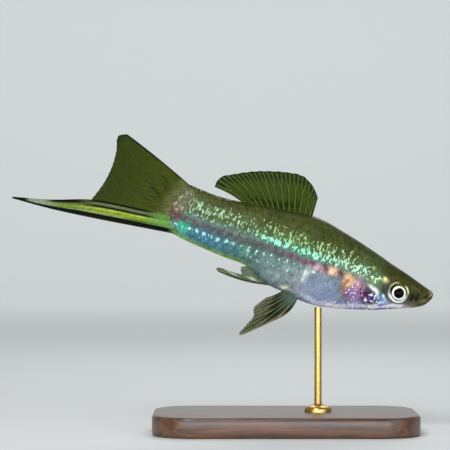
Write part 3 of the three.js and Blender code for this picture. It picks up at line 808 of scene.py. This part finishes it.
def angle_at(along, share):
    """Angle of a place on the girth, by bilinear lookup in the table."""
    share = np.abs(share)
    over = share > 1
    share = np.where(over, 2 - share, share)
    rows, columns = GIRTH_ANGLES.shape
    reach = (np.clip(along, SCALES_FROM, BODY_LENGTH) - SCALES_FROM) / (BODY_LENGTH - SCALES_FROM)
    x, y = reach * (rows - 1), share * (columns - 1)
    i = np.clip(x.astype(int), 0, rows - 2)
    j = np.clip(y.astype(int), 0, columns - 2)
    u, v = x - i, y - j
    low = GIRTH_ANGLES[i, j] * (1 - v) + GIRTH_ANGLES[i, j + 1] * v
    high = GIRTH_ANGLES[i + 1, j] * (1 - v) + GIRTH_ANGLES[i + 1, j + 1] * v
    angle = low * (1 - u) + high * u
    return np.where(over, 2 * math.pi - angle, angle)


def scale_seats():
    """Side, place along the body and share of the girth of each scale."""
    seats = []
    for sign in (-1, 1):
        for row in range(SCALE_ROWS + 1):
            share = row / SCALE_ROWS
            if sign > 0 and row in (0, SCALE_ROWS):
                continue
            start = np.interp(share, [0, 0.25, 0.45, 0.7, 1.0], [9.5, 12.2, 15.6, 16.6, 13.0])
            offset = (row % 2) * SCALE_PITCH / 2
            first = math.ceil((start - offset) / SCALE_PITCH)
            last = int((BODY_LENGTH - 0.9 - offset) / SCALE_PITCH)
            for k in range(first, last + 1):
                seats.append((sign, offset + k * SCALE_PITCH, share))
    return seats


def build_scales():
    """Each scale is a thin plate of nine by nine points, its hind edge proud of the next one."""
    side = 9
    length, width = 1.95 * SCALE_PITCH, 1.62 / SCALE_ROWS
    steps = np.linspace(-1, 1, side)
    outline = np.maximum(0.12, (1 - np.abs(steps) ** 2.8) ** 0.5)
    outline[0] = 0.45
    back, over = np.repeat(steps, side), np.tile(steps, side)
    across = np.repeat(outline, side) * over
    plates = {sign: plate_faces(side, side, sign > 0) for sign in (-1, 1)}
    points, uvs, faces = [], [], []
    layers = {"paint": [], "glint_tint": [], "glint": [], "fish": []}
    for sign, seat, share in scale_seats():
        longer, higher, paler, centre, _, brighter = rng.normal(0, 1, 6)
        base = len(points) * side * side
        faces += [[base + k for k in face] for face in plates[sign]]
        here = seat + back * length / 2 * (1 + 0.03 * longer)
        smooth_belly = smoothstep(share, 0.55, 0.75) * fade(seat, 34, 40)
        step = 0.07 - 0.03 * smooth_belly
        lift = -0.1 + step * (back + 1) / 2 - 0.02 * across**2 + 0.004 * higher
        angle = angle_at(here, share + across * width / 2)
        here = np.clip(here, SCALES_FROM, BODY_LENGTH)
        outer, up = body_points(here, angle, lift, with_relief=False)
        inner, _ = body_points(here, angle, lift - 0.02, with_relief=False)
        colour, glint_tint, glint = markings(here, up)
        edge = smoothstep(np.hypot(np.maximum(back, 0), across), 0.62, 1.0)
        colour = np.clip(colour * (1 - 0.04 * edge + 0.06 * paler)[:, None], 0, 1)
        middle = 0.25 + 0.2 * centre
        streak = np.exp(-(((back - middle) / 0.5) ** 2) - (across / 1.1) ** 2)
        power = np.clip(1.05 + 0.16 * brighter, 0.6, 1.5)
        glint = np.clip(glint * (0.5 + 0.6 * streak) * power, 0, 1.3)
        share_along = (seat + back * SCALE_PITCH * 0.24) / BODY_LENGTH
        turn = 0.5 + sign * (0.5 - 0.5 * (share + over * 0.24 / SCALE_ROWS))
        patch_uv = uv_map(share_along, np.clip(turn, 0, 1))
        for pts, flash in ((outer, glint), (inner, glint * 0)):
            pts[:, 1] *= sign
            points.append(pts)
            uvs.append(patch_uv)
            place = np.stack([here, pts[:, 1], up], 1)
            for key, values in zip(layers, (colour, glint_tint, flash[:, None], place)):
                layers[key].append(values)
    attributes = {key: np.vstack(values) for key, values in layers.items()}
    attributes["glint"] = attributes["glint"].ravel()
    scales = add_mesh("scales", to_world(np.vstack(points)), faces, attributes, np.vstack(uvs))
    finish_piece(scales, "skin", COAT, "trunk", "tail_stalk")


# Fins: root line and tip line of each, as a table over the fan: share, along, up, side

DORSAL = (
    [(0, 30.6, 6.9, 0), (0.5, 37.6, 6.1, 0), (1, 44.2, 5.1, 0)],
    [
        (0, 30.8, 12.3, 0), (0.1, 32.6, 14.3, 0), (0.2, 35.2, 15.7, 0), (0.35, 39.0, 15.4, 0),
        (0.5, 42.8, 14.4, 0), (0.65, 46.4, 13.1, 0), (0.8, 49.8, 11.4, 0), (0.92, 52.6, 9.6, 0),
        (1, 53.2, 7.3, 0),
    ],
)
CAUDAL = (
    [(0, 56.6, 5.2, 0), (0.5, 59.0, 2.4, 0), (1, 59.4, -1.75, 0)],
    [
        (0, 74.9, 12.2, 0), (0.1, 76.6, 11.3, 0), (0.3, 76.0, 7.8, 0), (0.5, 75.8, 4.5, 0),
        (0.75, 76.4, 0.4, 0), (1, 77.8, -3.9, 0),
    ],
)
PELVIC = (
    [(0, 28.0, -9.4, 0.9), (1, 30.9, -8.6, 1.1)],
    [
        (0, 30.4, -15.4, 2.0), (0.25, 37.6, -21.7, 3.0), (0.45, 36.0, -17.4, 3.6),
        (0.7, 36.4, -15.2, 3.9), (1, 34.6, -12.2, 3.2),
    ],
)
PECTORAL = (
    [(0, 18.0, -2.4, 3.7), (1, 18.9, -5.4, 3.4)],
    [
        (0, 26.0, -3.4, 8.0), (0.25, 28.6, -5.5, 8.3), (0.5, 28.6, -7.9, 8.0),
        (0.75, 26.2, -9.8, 7.3), (1, 22.6, -9.5, 6.2),
    ],
)
ANAL = (
    [(0, 36.4, -8.2, 0), (1, 39.6, -6.2, 0)],
    [(0, 40.6, -9.4, 0), (0.5, 41.6, -8.7, 0), (1, 42.0, -7.5, 0)],
)
# the sword's upper and lower edge, from its root to its tip
SWORD_TOP = [
    (0, 58.6, -1.5, 0), (0.2, 66.0, -2.3, 0), (0.53, 77.6, -3.85, 0), (0.77, 86.2, -6.7, 0),
    (1, 94.4, -8.8, 0),
]
SWORD_BOTTOM = [
    (0, 57.6, -5.2, 0), (0.2, 65.6, -6.25, 0), (0.5, 75.0, -7.5, 0), (0.77, 85.4, -8.65, 0),
    (1, 94.4, -9.15, 0),
]


def table_line(table, sign=1):
    table = np.array(table, float)
    along, up, side = (curve(table[:, 0], table[:, k]) for k in (1, 2, 3))
    return lambda share: np.stack([along(share), sign * side(share), up(share)], -1)


def fan_between(tables, bend=lambda fan: (0 * fan, 0 * fan, 0 * fan), sign=1, wave=0.0):
    """Places by fan and reach: bowed rays from the root line to the tip line."""
    root, tip = table_line(tables[0], sign), table_line(tables[1], sign)

    def at(fan, reach):
        start, end = root(fan), tip(fan)
        backward, upward, outward = bend(fan)
        control = (start + end) / 2 + np.stack([backward, sign * outward, upward], -1)
        t = reach[..., None]
        place = start * (1 - t) ** 2 + 2 * control * t * (1 - t) + end * t**2
        place[..., 1] += wave * np.sin(fan * 3 * math.pi) * reach**2
        return place

    return at


def ray_mask(fan, reach, rays, forks, width):
    """How much of a ray covers each place: rays fork once or twice on the way out."""
    slot = fan * rays - 0.5
    nearest = np.clip(np.round(slot), 0, rays - 1)
    offset = slot - nearest
    first = 0.25 * smoothstep(reach, forks[0], forks[0] + 0.35)
    second = 0.125 * smoothstep(reach, forks[1], forks[1] + 0.3)
    mask = np.zeros(fan.shape)
    for one in (-1, 1):
        for two in (-1, 1):
            gap = offset - one * first - two * second
            mask = np.maximum(mask, np.exp(-((gap / (width * (1 - 0.45 * reach))) ** 2)))
    return mask


def build_fin(name, slot, nodes, at, rays, rows, paint, forks=(0.35, 0.68), width=0.13, thick=0.09,
              ridge=0.13, sheath=0.35, scallop=0.012):
    """A closed sheet over a fan, with its rays raised on both faces.

    width, ridge and forks shape the rays, thick is half the membrane, sheath thickens the root
    and scallop notches the edge between rays.
    """
    columns = rays * POINTS_PER_RAY + 1
    fan, share = np.meshgrid(np.linspace(0, 1, columns), np.linspace(0, 1, rows), indexing="ij")
    fan, share = fan.ravel(), share.ravel()
    notch = scallop * (0.5 - 0.5 * np.cos(2 * math.pi * fan * rays + math.pi))
    reach = share * (1 - notch)
    ray = ray_mask(fan, reach, rays, forks, width)
    step = 1e-3
    low, high = np.clip(fan - step, 0, 1), np.clip(fan + step, 0, 1)
    over_fan = at(high, reach) - at(low, reach)
    over_reach = at(fan, reach + step) - at(fan, reach - step)
    normal = np.cross(over_fan, over_reach)
    normal /= np.linalg.norm(normal, axis=1, keepdims=True)
    half = thick * (1 - 0.45 * share) + ridge * ray * (1 - 0.6 * share)
    half += sheath * fade(share, 0.05, 0.4)
    # both ends of the rays and both sides of the fan thin out to an edge
    half *= np.minimum(1, 0.25 + 12 * (1 - share))
    half *= np.minimum(1, 0.3 + 40 * np.minimum(fan, 1 - fan))
    middle = at(fan, reach)
    points = np.vstack([middle + normal * half[:, None], middle - normal * half[:, None]])
    colour, solid = paint(fan, reach, ray)
    length = np.linalg.norm(at(fan, np.ones_like(fan)) - at(fan, np.zeros_like(fan)), axis=1)
    attributes = {
        "paint": np.vstack([colour] * 2),
        "ray": np.tile(ray * smoothstep(reach, 0.2, 0.35), 2),
        "reach": np.tile(reach * length, 2),
        "solid": np.tile(np.clip(solid, 0, 1), 2),
    }
    front = np.stack([0.01 + 0.47 * fan, 0.01 + 0.98 * share], 1)
    uv = np.vstack([front, front + np.array([0.5, 0.0])])
    fin = add_mesh(name, to_world(points), plate_faces(columns, rows), attributes, uv)
    finish_piece(fin, slot, FIN, *nodes)


def dorsal_paint(fan, reach, ray):
    """Light rays between dark lines, and dark spots near the base and the margin."""
    spots = np.clip(0.75 + 0.6 * waver(fan * 22, reach * 5, 1.6, 17), 0, 1)
    base_row = bell(reach - 0.24 - 0.04 * np.sin(fan * 9), 0, 0.1) * strip(fan, 0.2, 0.9, 0.1)
    dark = 0.85 * base_row * (0.35 + 0.65 * spots) + 0.85 * bell(reach, 0.85, 0.07) * spots
    rim = smoothstep(reach, 0.955, 0.975) + smoothstep(-fan, -0.02, -0.006)
    colour = painted(
        (66, 80, 14),
        ((44, 54, 14), smoothstep(reach, 0.75, 1.0)),
        ((22, 24, 6), bell(ray, 0.35, 0.22) * 0.85),
        ((98, 116, 56), smoothstep(ray, 0.5, 0.95) * (0.7 - 0.25 * reach)),
        ((18, 18, 8), (1 - ray) ** 2 * dark),
        ((24, 26, 12), 0.85 * np.clip(rim, 0, 1)),
    )
    return colour, 0.96 + 0.04 * ray + 0.04 * rim


def caudal_paint(fan, reach, ray):
    """Plain olive, with a scaly root, a few dark dashes and a black upper edge."""
    root = fade(reach, 0.08, 0.26)
    flecks = root * (0.5 + 0.5 * waver(fan * 30, reach * 22, 2.2, 5))
    streaks = np.clip(waver(fan * 40, reach * 10, 2.4, 15) - 0.1, 0, 1)
    top = fade(fan, 0.014, 0.036)
    tip = 0.6 * smoothstep(reach, 0.93, 0.99) * fade(fan, 0.1, 0.3)
    colour = painted(
        (68, 78, 18),
        ((52, 62, 14), smoothstep(reach, 0.3, 0.95)),
        ((88, 94, 38), ray * 0.2),
        ((88, 94, 58), root * 0.8),
        ((132, 130, 98), np.clip(flecks, 0, 1) * 0.5),
        ((34, 26, 14), bell(reach, 0.34, 0.13) * bell(fan, 0.5, 0.34) * streaks * 1.6),
        ((14, 18, 8), np.clip(top + tip, 0, 1)),
    )
    return colour, 0.96 + 0.04 * (ray + root + top)


def sword_paint(fan, reach, ray):
    """Yellow-green between black borders, with a grey line above and a pale, black-tipped end."""
    streaks = np.clip(waver(reach * 14, fan * 12, 2.0, 19), 0, 1)
    mid = smoothstep(reach, 0.1, 0.2) * fade(reach, 0.5, 0.62)
    far = smoothstep(reach, 0.5, 0.64)
    upper = np.clip(strip(fan, -1, 0.1) + strip(fan, 0.27, 0.36), 0, 1)
    borders = [
        upper * mid,
        strip(fan, -1, 0.24, 0.06) * far * fade(reach, 0.74, 0.82),
        strip(fan, 0.74 - 0.06 * far, 0.97) * smoothstep(reach, 0.0, 0.06),
        strip(fan, 0.6, 2) * smoothstep(reach, 0.84, 0.92),
    ]
    colour = painted(
        (82, 102, 30),
        ((134, 152, 54), strip(fan, 0.37, 0.63)),
        ((102, 124, 38), strip(fan, 0.5, 0.72, 0.04) * streaks),
        # a painted highlight: a pale yellow line along the middle of the yellow band
        ((190, 200, 106), strip(fan, 0.42, 0.48, 0.03) * (0.35 + 0.5 * streaks)),
        ((104, 146, 84), fade(reach, 0.06, 0.26) * 0.8),
        ((108, 126, 66), far * 0.75),
        ((150, 166, 120), strip(fan, 0.64, 0.7, 0.03) * strip(reach, 0.3, 0.7, 0.08)),
        ((140, 156, 138), smoothstep(reach, 0.7, 0.84) * 0.85),
        ((112, 110, 92), strip(fan, 0.13, 0.25) * mid * 0.85),
        ((96, 92, 78), strip(fan, 0.97, 2, 0.015) * 0.6),
        ((8, 9, 5), np.maximum.reduce(borders)),
        ((12, 14, 8), smoothstep(reach, 0.89, 0.93)),
    )
    return colour, np.ones_like(fan)


def pelvic_paint(fan, reach, ray):
    """Grey-green root, and light rays in a membrane that clears towards the tip."""
    mid = bell(reach, 0.48, 0.2) * (1 - ray) ** 2
    colour = painted(
        (56, 58, 26),
        ((156, 162, 120), smoothstep(ray, 0.45, 0.95) * 0.85),
        ((88, 110, 98), fade(reach, 0.12, 0.5) * 0.85),
        ((26, 24, 10), mid * 0.5),
    )
    clear = 0.25 * smoothstep(reach, 0.35, 0.7) * (1 - ray)
    return colour, 0.62 - clear + 0.34 * ray + 0.2 * mid + 0.35 * fade(reach, 0.1, 0.4)


def pectoral_paint(fan, reach, ray):
    """Tan root and an almost clear blue-grey membrane."""
    root = (196, 144, 92), fade(reach, 0.1, 0.24)
    colour = painted((132, 148, 174), ((150, 166, 188), ray * 0.5), root)
    return colour, 0.16 + 0.12 * ray + 0.62 * fade(reach, 0.06, 0.24)


def anal_paint(fan, reach, ray):
    colour = painted((92, 112, 96), ((134, 140, 110), ray * 0.6))
    return colour, 0.75 + 0.2 * ray + 0.2 * fade(reach, 0.1, 0.5)


def sword_at():
    top, bottom = table_line(SWORD_TOP), table_line(SWORD_BOTTOM)

    def at(fan, reach):
        reach = np.clip(reach, 0, 1)
        t = fan[..., None]
        return top(reach) * (1 - t) + bottom(reach) * t

    return at


def build_fins():
    build_fin(
        "dorsal_rays", "fin", ["dorsal_fin"],
        fan_between(DORSAL, lambda f: (-0.5 * f, 0.9 * f, 0 * f), wave=0.3),
        13, 56, dorsal_paint, forks=(0.5, 0.8), width=0.19,
    )
    build_fin(
        "caudal_rays", "fin", ["caudal_fin"],
        fan_between(CAUDAL, lambda f: (0 * f, 0.5 * (1 - 2 * f), 0 * f), wave=0.35),
        14, 80, caudal_paint, forks=(0.3, 0.6), ridge=0.07, sheath=0.5, scallop=0.004,
    )
    build_fin(
        "sword_rays", "sword", ["sword"], sword_at(), 7, 150, sword_paint,
        forks=NO_FORKS, width=0.2, thick=0.16, ridge=0.12, scallop=0,
    )
    for name, sign in (("left", 1), ("right", -1)):
        build_fin(
            f"pelvic_rays_{name}", "fin", [f"pelvic_fin_{name}"],
            fan_between(PELVIC, lambda f: (-1.1 + 0.6 * f, -0.9 + 0.6 * f, 0.3 + 0 * f), sign),
            6, 60, pelvic_paint, forks=(0.5, 2), sheath=0.25,
        )
        build_fin(
            f"pectoral_rays_{name}", "fin", [f"pectoral_fin_{name}"],
            fan_between(PECTORAL, lambda f: (0 * f, 0.2 + 0 * f, 0.9 + 0 * f), sign),
            11, 56, pectoral_paint, forks=(0.4, 0.75), thick=0.06, ridge=0.09, sheath=0.25,
        )
    build_fin(
        "anal_rays", "fin", [], fan_between(ANAL), 5, 30, anal_paint, forks=(0.6, 0.9), sheath=0.15,
    )


def build_gonopodium():
    """A folded rod that bows down a little on its way back and closes round at the tip."""
    rings, sides = 70, 28
    length, sag, width, height = 12.4, 0.55, 1.15, 1.5
    share, turn = tube_grid(np.linspace(0, 1, rings), sides)
    tip = np.clip(1 - (np.clip(share - 0.9, 0, 1) / 0.1005) ** 2, 0, 1)
    girth = (1 - 0.38 * share) * np.sqrt(tip)
    girth *= 1 + 0.07 * np.cos(turn * 4) * smoothstep(share, 0.15, 0.3)
    along = 34.6 + length * share
    up = -8.6 - 0.95 * share - sag * np.sin(share * math.pi) + height / 2 * girth * np.cos(turn)
    points = to_world(np.stack([along, width / 2 * girth * np.sin(turn), up], 1))
    streaks = np.clip(waver(share * 9, turn * 1.5, 3.0, 27), 0, 1)
    colour = painted(
        (94, 106, 82),
        # pale streaks: painted highlights along the rod
        ((176, 188, 166), streaks * 0.9),
        ((104, 100, 66), smoothstep(share, 0.8, 1.0) * 0.6),
        # painted shade: the rod is darker on its underside
        ((34, 46, 34), smoothstep(-np.cos(turn), 0.1, 0.8) * 0.6),
    )
    attributes = {
        "paint": colour,
        "ray": smoothstep(np.abs(np.sin(turn)), 0.3, 0.9) * smoothstep(share, 0.3, 0.4),
        "reach": share * length,
        "solid": np.ones_like(share),
    }
    uv = uv_map(share, turn / (2 * math.pi))
    rod = add_mesh("gonopodium_rays", points, grid_faces(rings, sides, True, True), attributes, uv)
    finish_piece(rod, "fin", FIN, "gonopodium")


# Eyes


def eye_material():
    """The painted rings with fine fibres, and a little metal in the bright one."""
    mat, tree, shader = material("eye")
    fibres = ramp(tree, noise(tree, row_place(tree), 3800.0), 0.3, 0.7, 0.8, 1.1)
    sockets = {
        "Base Color": shaded(tree, attribute(tree, "paint"), fibres),
        "Metallic": math_node(tree, "MULTIPLY", attribute(tree, "glint", "Fac"), 0.5),
        "Roughness": 0.4,
        "Specular IOR Level": 0.03,
        "Coat Weight": 0.06,
        "Coat Roughness": 0.08,
    }
    plug_all(tree, shader, sockets)
    return mat


def build_eyes():
    """A flat dome with a raised lens, a groove and rings of colour."""
    mat = eye_material()
    rings, sides, reach = 72, 96, math.pi * 0.62
    tilt, spin = tube_grid(np.linspace(0, reach, rings), sides)
    front = tilt < 1.5
    flat = EYE["radius"] * np.sin(tilt)
    lens = 0.08 * np.exp(-((flat / 0.95) ** 4)) * front
    groove = -0.05 * bell(flat, 1.95, 0.1) * front
    out = EYE["side"] + (EYE["bulge"] + lens + groove) * np.cos(tilt)
    along, up = EYE["along"] - flat * np.cos(spin), EYE["up"] + flat * np.sin(spin)
    colour = eye_arcs(srgb(78, 78, 38), flat, spin)
    ring = strip(flat, 1.14, 1.5, 0.06) * front
    colour = mix(colour, srgb(250, 250, 238), ring)
    colour = mix(colour, srgb(3, 3, 2), fade(flat, 1.07, 1.16) * front)
    spread = 0.47 * tilt / reach
    uv = np.stack([0.5 + spread * np.cos(spin), 0.5 + spread * np.sin(spin)], 1)
    for name, sign in (("left", 1), ("right", -1)):
        world = to_world(np.stack([along, sign * out, up], 1))
        faces = grid_faces(rings, sides, True, sign > 0)
        eye = add_mesh(f"eyeball_{name}", world, faces, {"paint": colour, "glint": ring}, uv)
        finish_piece(eye, "eye", mat, f"eye_{name}")


# Stand


def wood_material():
    """Oiled wood: grain drawn out along the board, with dark pores."""
    mat, tree, shader = material("stand_wood")
    place = stretched(tree, row_place(tree), (9.0, 120.0, 120.0))
    grain = noise(tree, place, 5.0, 6.0, 0.62, 0.6)
    pores = noise(tree, place, 26.0, 3.0, 0.5)
    tone = blend_colour(tree, ramp(tree, grain, 0.32, 0.68), srgb(46, 27, 17), srgb(104, 66, 42))
    sockets = {
        "Base Color": shaded(tree, tone, ramp(tree, pores, 0.6, 0.72, 1.0, 0.6)),
        "Roughness": ramp(tree, grain, 0.3, 0.7, 0.34, 0.46),
        "Coat Weight": 0.3,
        "Coat Roughness": 0.2,
        "Normal": bump(tree, pores, 0.25, 0.00008),
    }
    plug_all(tree, shader, sockets)
    return mat


def brass_material():
    mat, tree, shader = material("stand_brass")
    brushed = noise(tree, row_place(tree), 900.0)
    sockets = {
        "Base Color": blend_colour(tree, brushed, srgb(176, 138, 72), srgb(206, 172, 102)),
        "Roughness": ramp(tree, brushed, 0.3, 0.7, 0.22, 0.36),
        "Metallic": 1.0,
    }
    plug_all(tree, shader, sockets)
    return mat


BASE = {"length": 58, "depth": 34, "height": 4.5, "corner": 9, "bevel": 0.8}
ROD = {"forward": 7.2, "radius": 0.8, "top": 27.35}
COLLAR = {"radius": 3.0, "neck": 1.1, "wall": 0.55, "dome": 0.9, "top": 1.75}


def rounded_outline(inset, per_corner=16):
    x, y = BASE["length"] / 2 - inset, BASE["depth"] / 2 - inset
    radius = BASE["corner"] - inset
    ring = []
    for k, (cx, cy) in enumerate(((1, -1), (1, 1), (-1, 1), (-1, -1))):
        for step in range(per_corner + 1):
            turn = math.radians(-90 + 90 * (k + step / per_corner))
            centre = (cx * (x - radius), cy * (y - radius))
            ring.append((centre[0] + radius * math.cos(turn), centre[1] + radius * math.sin(turn)))
    return ring


def build_base():
    height, bevel = BASE["height"], BASE["bevel"]
    levels = [(bevel * (1 - sin), bevel * (1 - cos)) for sin, cos in quarter_turn(4)]
    levels += [(bevel * (1 - cos), height - bevel * (1 - sin)) for sin, cos in quarter_turn(4)]
    points = [(x, y, level) for inset, level in levels for x, y in rounded_outline(inset)]
    count = len(rounded_outline(0))
    faces = grid_faces(len(levels), count, True)
    faces.append(list(range(count))[::-1])
    faces.append([len(points) - count + k for k in range(count)])
    base = add_mesh("stand_board", np.array(points) * MM, faces)
    base.data.set_sharp_from_angle(angle=math.radians(40))
    finish_piece(base, "stand_wood", wood_material(), "stand_base")


def build_rod():
    """A turned collar with a domed top, and the rod in it."""
    foot, wide = BASE["height"], COLLAR["radius"]
    shoulder = foot + COLLAR["wall"]
    profile = [(0.0, foot), (wide, foot), (wide, shoulder)]
    for sin, cos in quarter_turn(8)[1:]:
        radius = wide - (wide - COLLAR["neck"]) * (1 - cos)
        profile.append((radius, shoulder + COLLAR["dome"] * sin))
    profile += [(ROD["radius"], foot + COLLAR["top"]), (ROD["radius"], ROD["top"]), (0.0, ROD["top"])]
    sides = 48
    turns = [2 * math.pi * k / sides for k in range(sides)]
    points = [(ROD["forward"] + r * math.cos(t), r * math.sin(t), z) for r, z in profile for t in turns]
    rod = add_mesh("stand_post", np.array(points) * MM, grid_faces(len(profile), sides, True))
    rod.data.set_sharp_from_angle(angle=math.radians(35))
    finish_piece(rod, "stand_brass", brass_material(), "stand_rod")


# Stage, light and camera

VIEW_MIDDLE = (-13.2, 0, 45.4)
VIEW_DISTANCE = 500
VIEW_WIDTH = 98.7  # what the camera takes in at that distance
SENSOR = 36
FLOOR = {"front": -1600, "bend": 1000, "radius": 300, "top": 1600, "half": 1500}
# name, place, target, size in metres, power, colour
LIGHTS = [
    ("key", (-120, -300, 330), VIEW_MIDDLE, (0.18, 0.18), 1.35, (1.0, 0.98, 0.95)),
    ("fill", (260, -320, 60), VIEW_MIDDLE, (0.3, 0.3), 0.6, (0.94, 0.97, 1.0)),
    ("rim", (40, 260, 300), VIEW_MIDDLE, (0.25, 0.15), 0.5, (1, 1, 1)),
    ("low", (-40, -420, 26), VIEW_MIDDLE, (0.6, 0.04), 1.0, (0.94, 0.97, 1.0)),
    ("wall", (0, 700, 700), (0, 1300, 120), (1.8, 0.4), 6.5, (1, 1, 1)),
]


def build_stage():
    """A pale floor that curves up into the wall behind."""
    bend, radius, half = FLOOR["bend"], FLOOR["radius"], FLOOR["half"]
    profile = [(FLOOR["front"], 0)]
    profile += [(bend + radius * sin, radius * (1 - cos)) for sin, cos in quarter_turn(16)]
    profile.append((bend + radius, FLOOR["top"]))
    points = np.array([(x, y, z) for y, z in profile for x in (-half, half)], float) * MM
    floor = add_mesh("backdrop", points, grid_faces(len(profile), 2, False))
    mat, tree, shader = material("pale_floor")
    plug_all(tree, shader, {"Base Color": srgb(204, 207, 207), "Roughness": 0.7})
    floor.data.materials.append(mat)


def aim(obj, place, target):
    place, target = Vector(place) * MM, Vector(target) * MM
    obj.location = place
    obj.rotation_euler = (target - place).to_track_quat("-Z", "Y").to_euler()


def build_view():
    for name, place, target, size, power, colour in LIGHTS:
        lamp = bpy.data.lights.new(name, "AREA")
        lamp.shape = "RECTANGLE"
        lamp.size, lamp.size_y = size
        lamp.energy = power
        lamp.color = colour
        aim(add_object(name, lamp), place, target)
    world = bpy.data.worlds.new("studio")
    bpy.context.scene.world = world
    world.use_nodes = True
    sky = world.node_tree.nodes["Background"]
    plug_all(world.node_tree, sky, {"Color": (0.9, 0.95, 1.0), "Strength": 0.34})
    camera = bpy.data.cameras.new("camera")
    camera.sensor_width = SENSOR
    camera.lens = SENSOR * VIEW_DISTANCE / VIEW_WIDTH
    camera.clip_start, camera.clip_end = 0.01, 10
    obj = add_object("camera", camera)
    x, y, z = VIEW_MIDDLE
    aim(obj, (x, y - VIEW_DISTANCE, z), VIEW_MIDDLE)
    bpy.context.scene.camera = obj
    bpy.context.scene.view_settings.view_transform = "Standard"


build_view()
build_stage()
build_skin()
build_scales()
build_fins()
build_gonopodium()
build_eyes()
build_base()
build_rod()
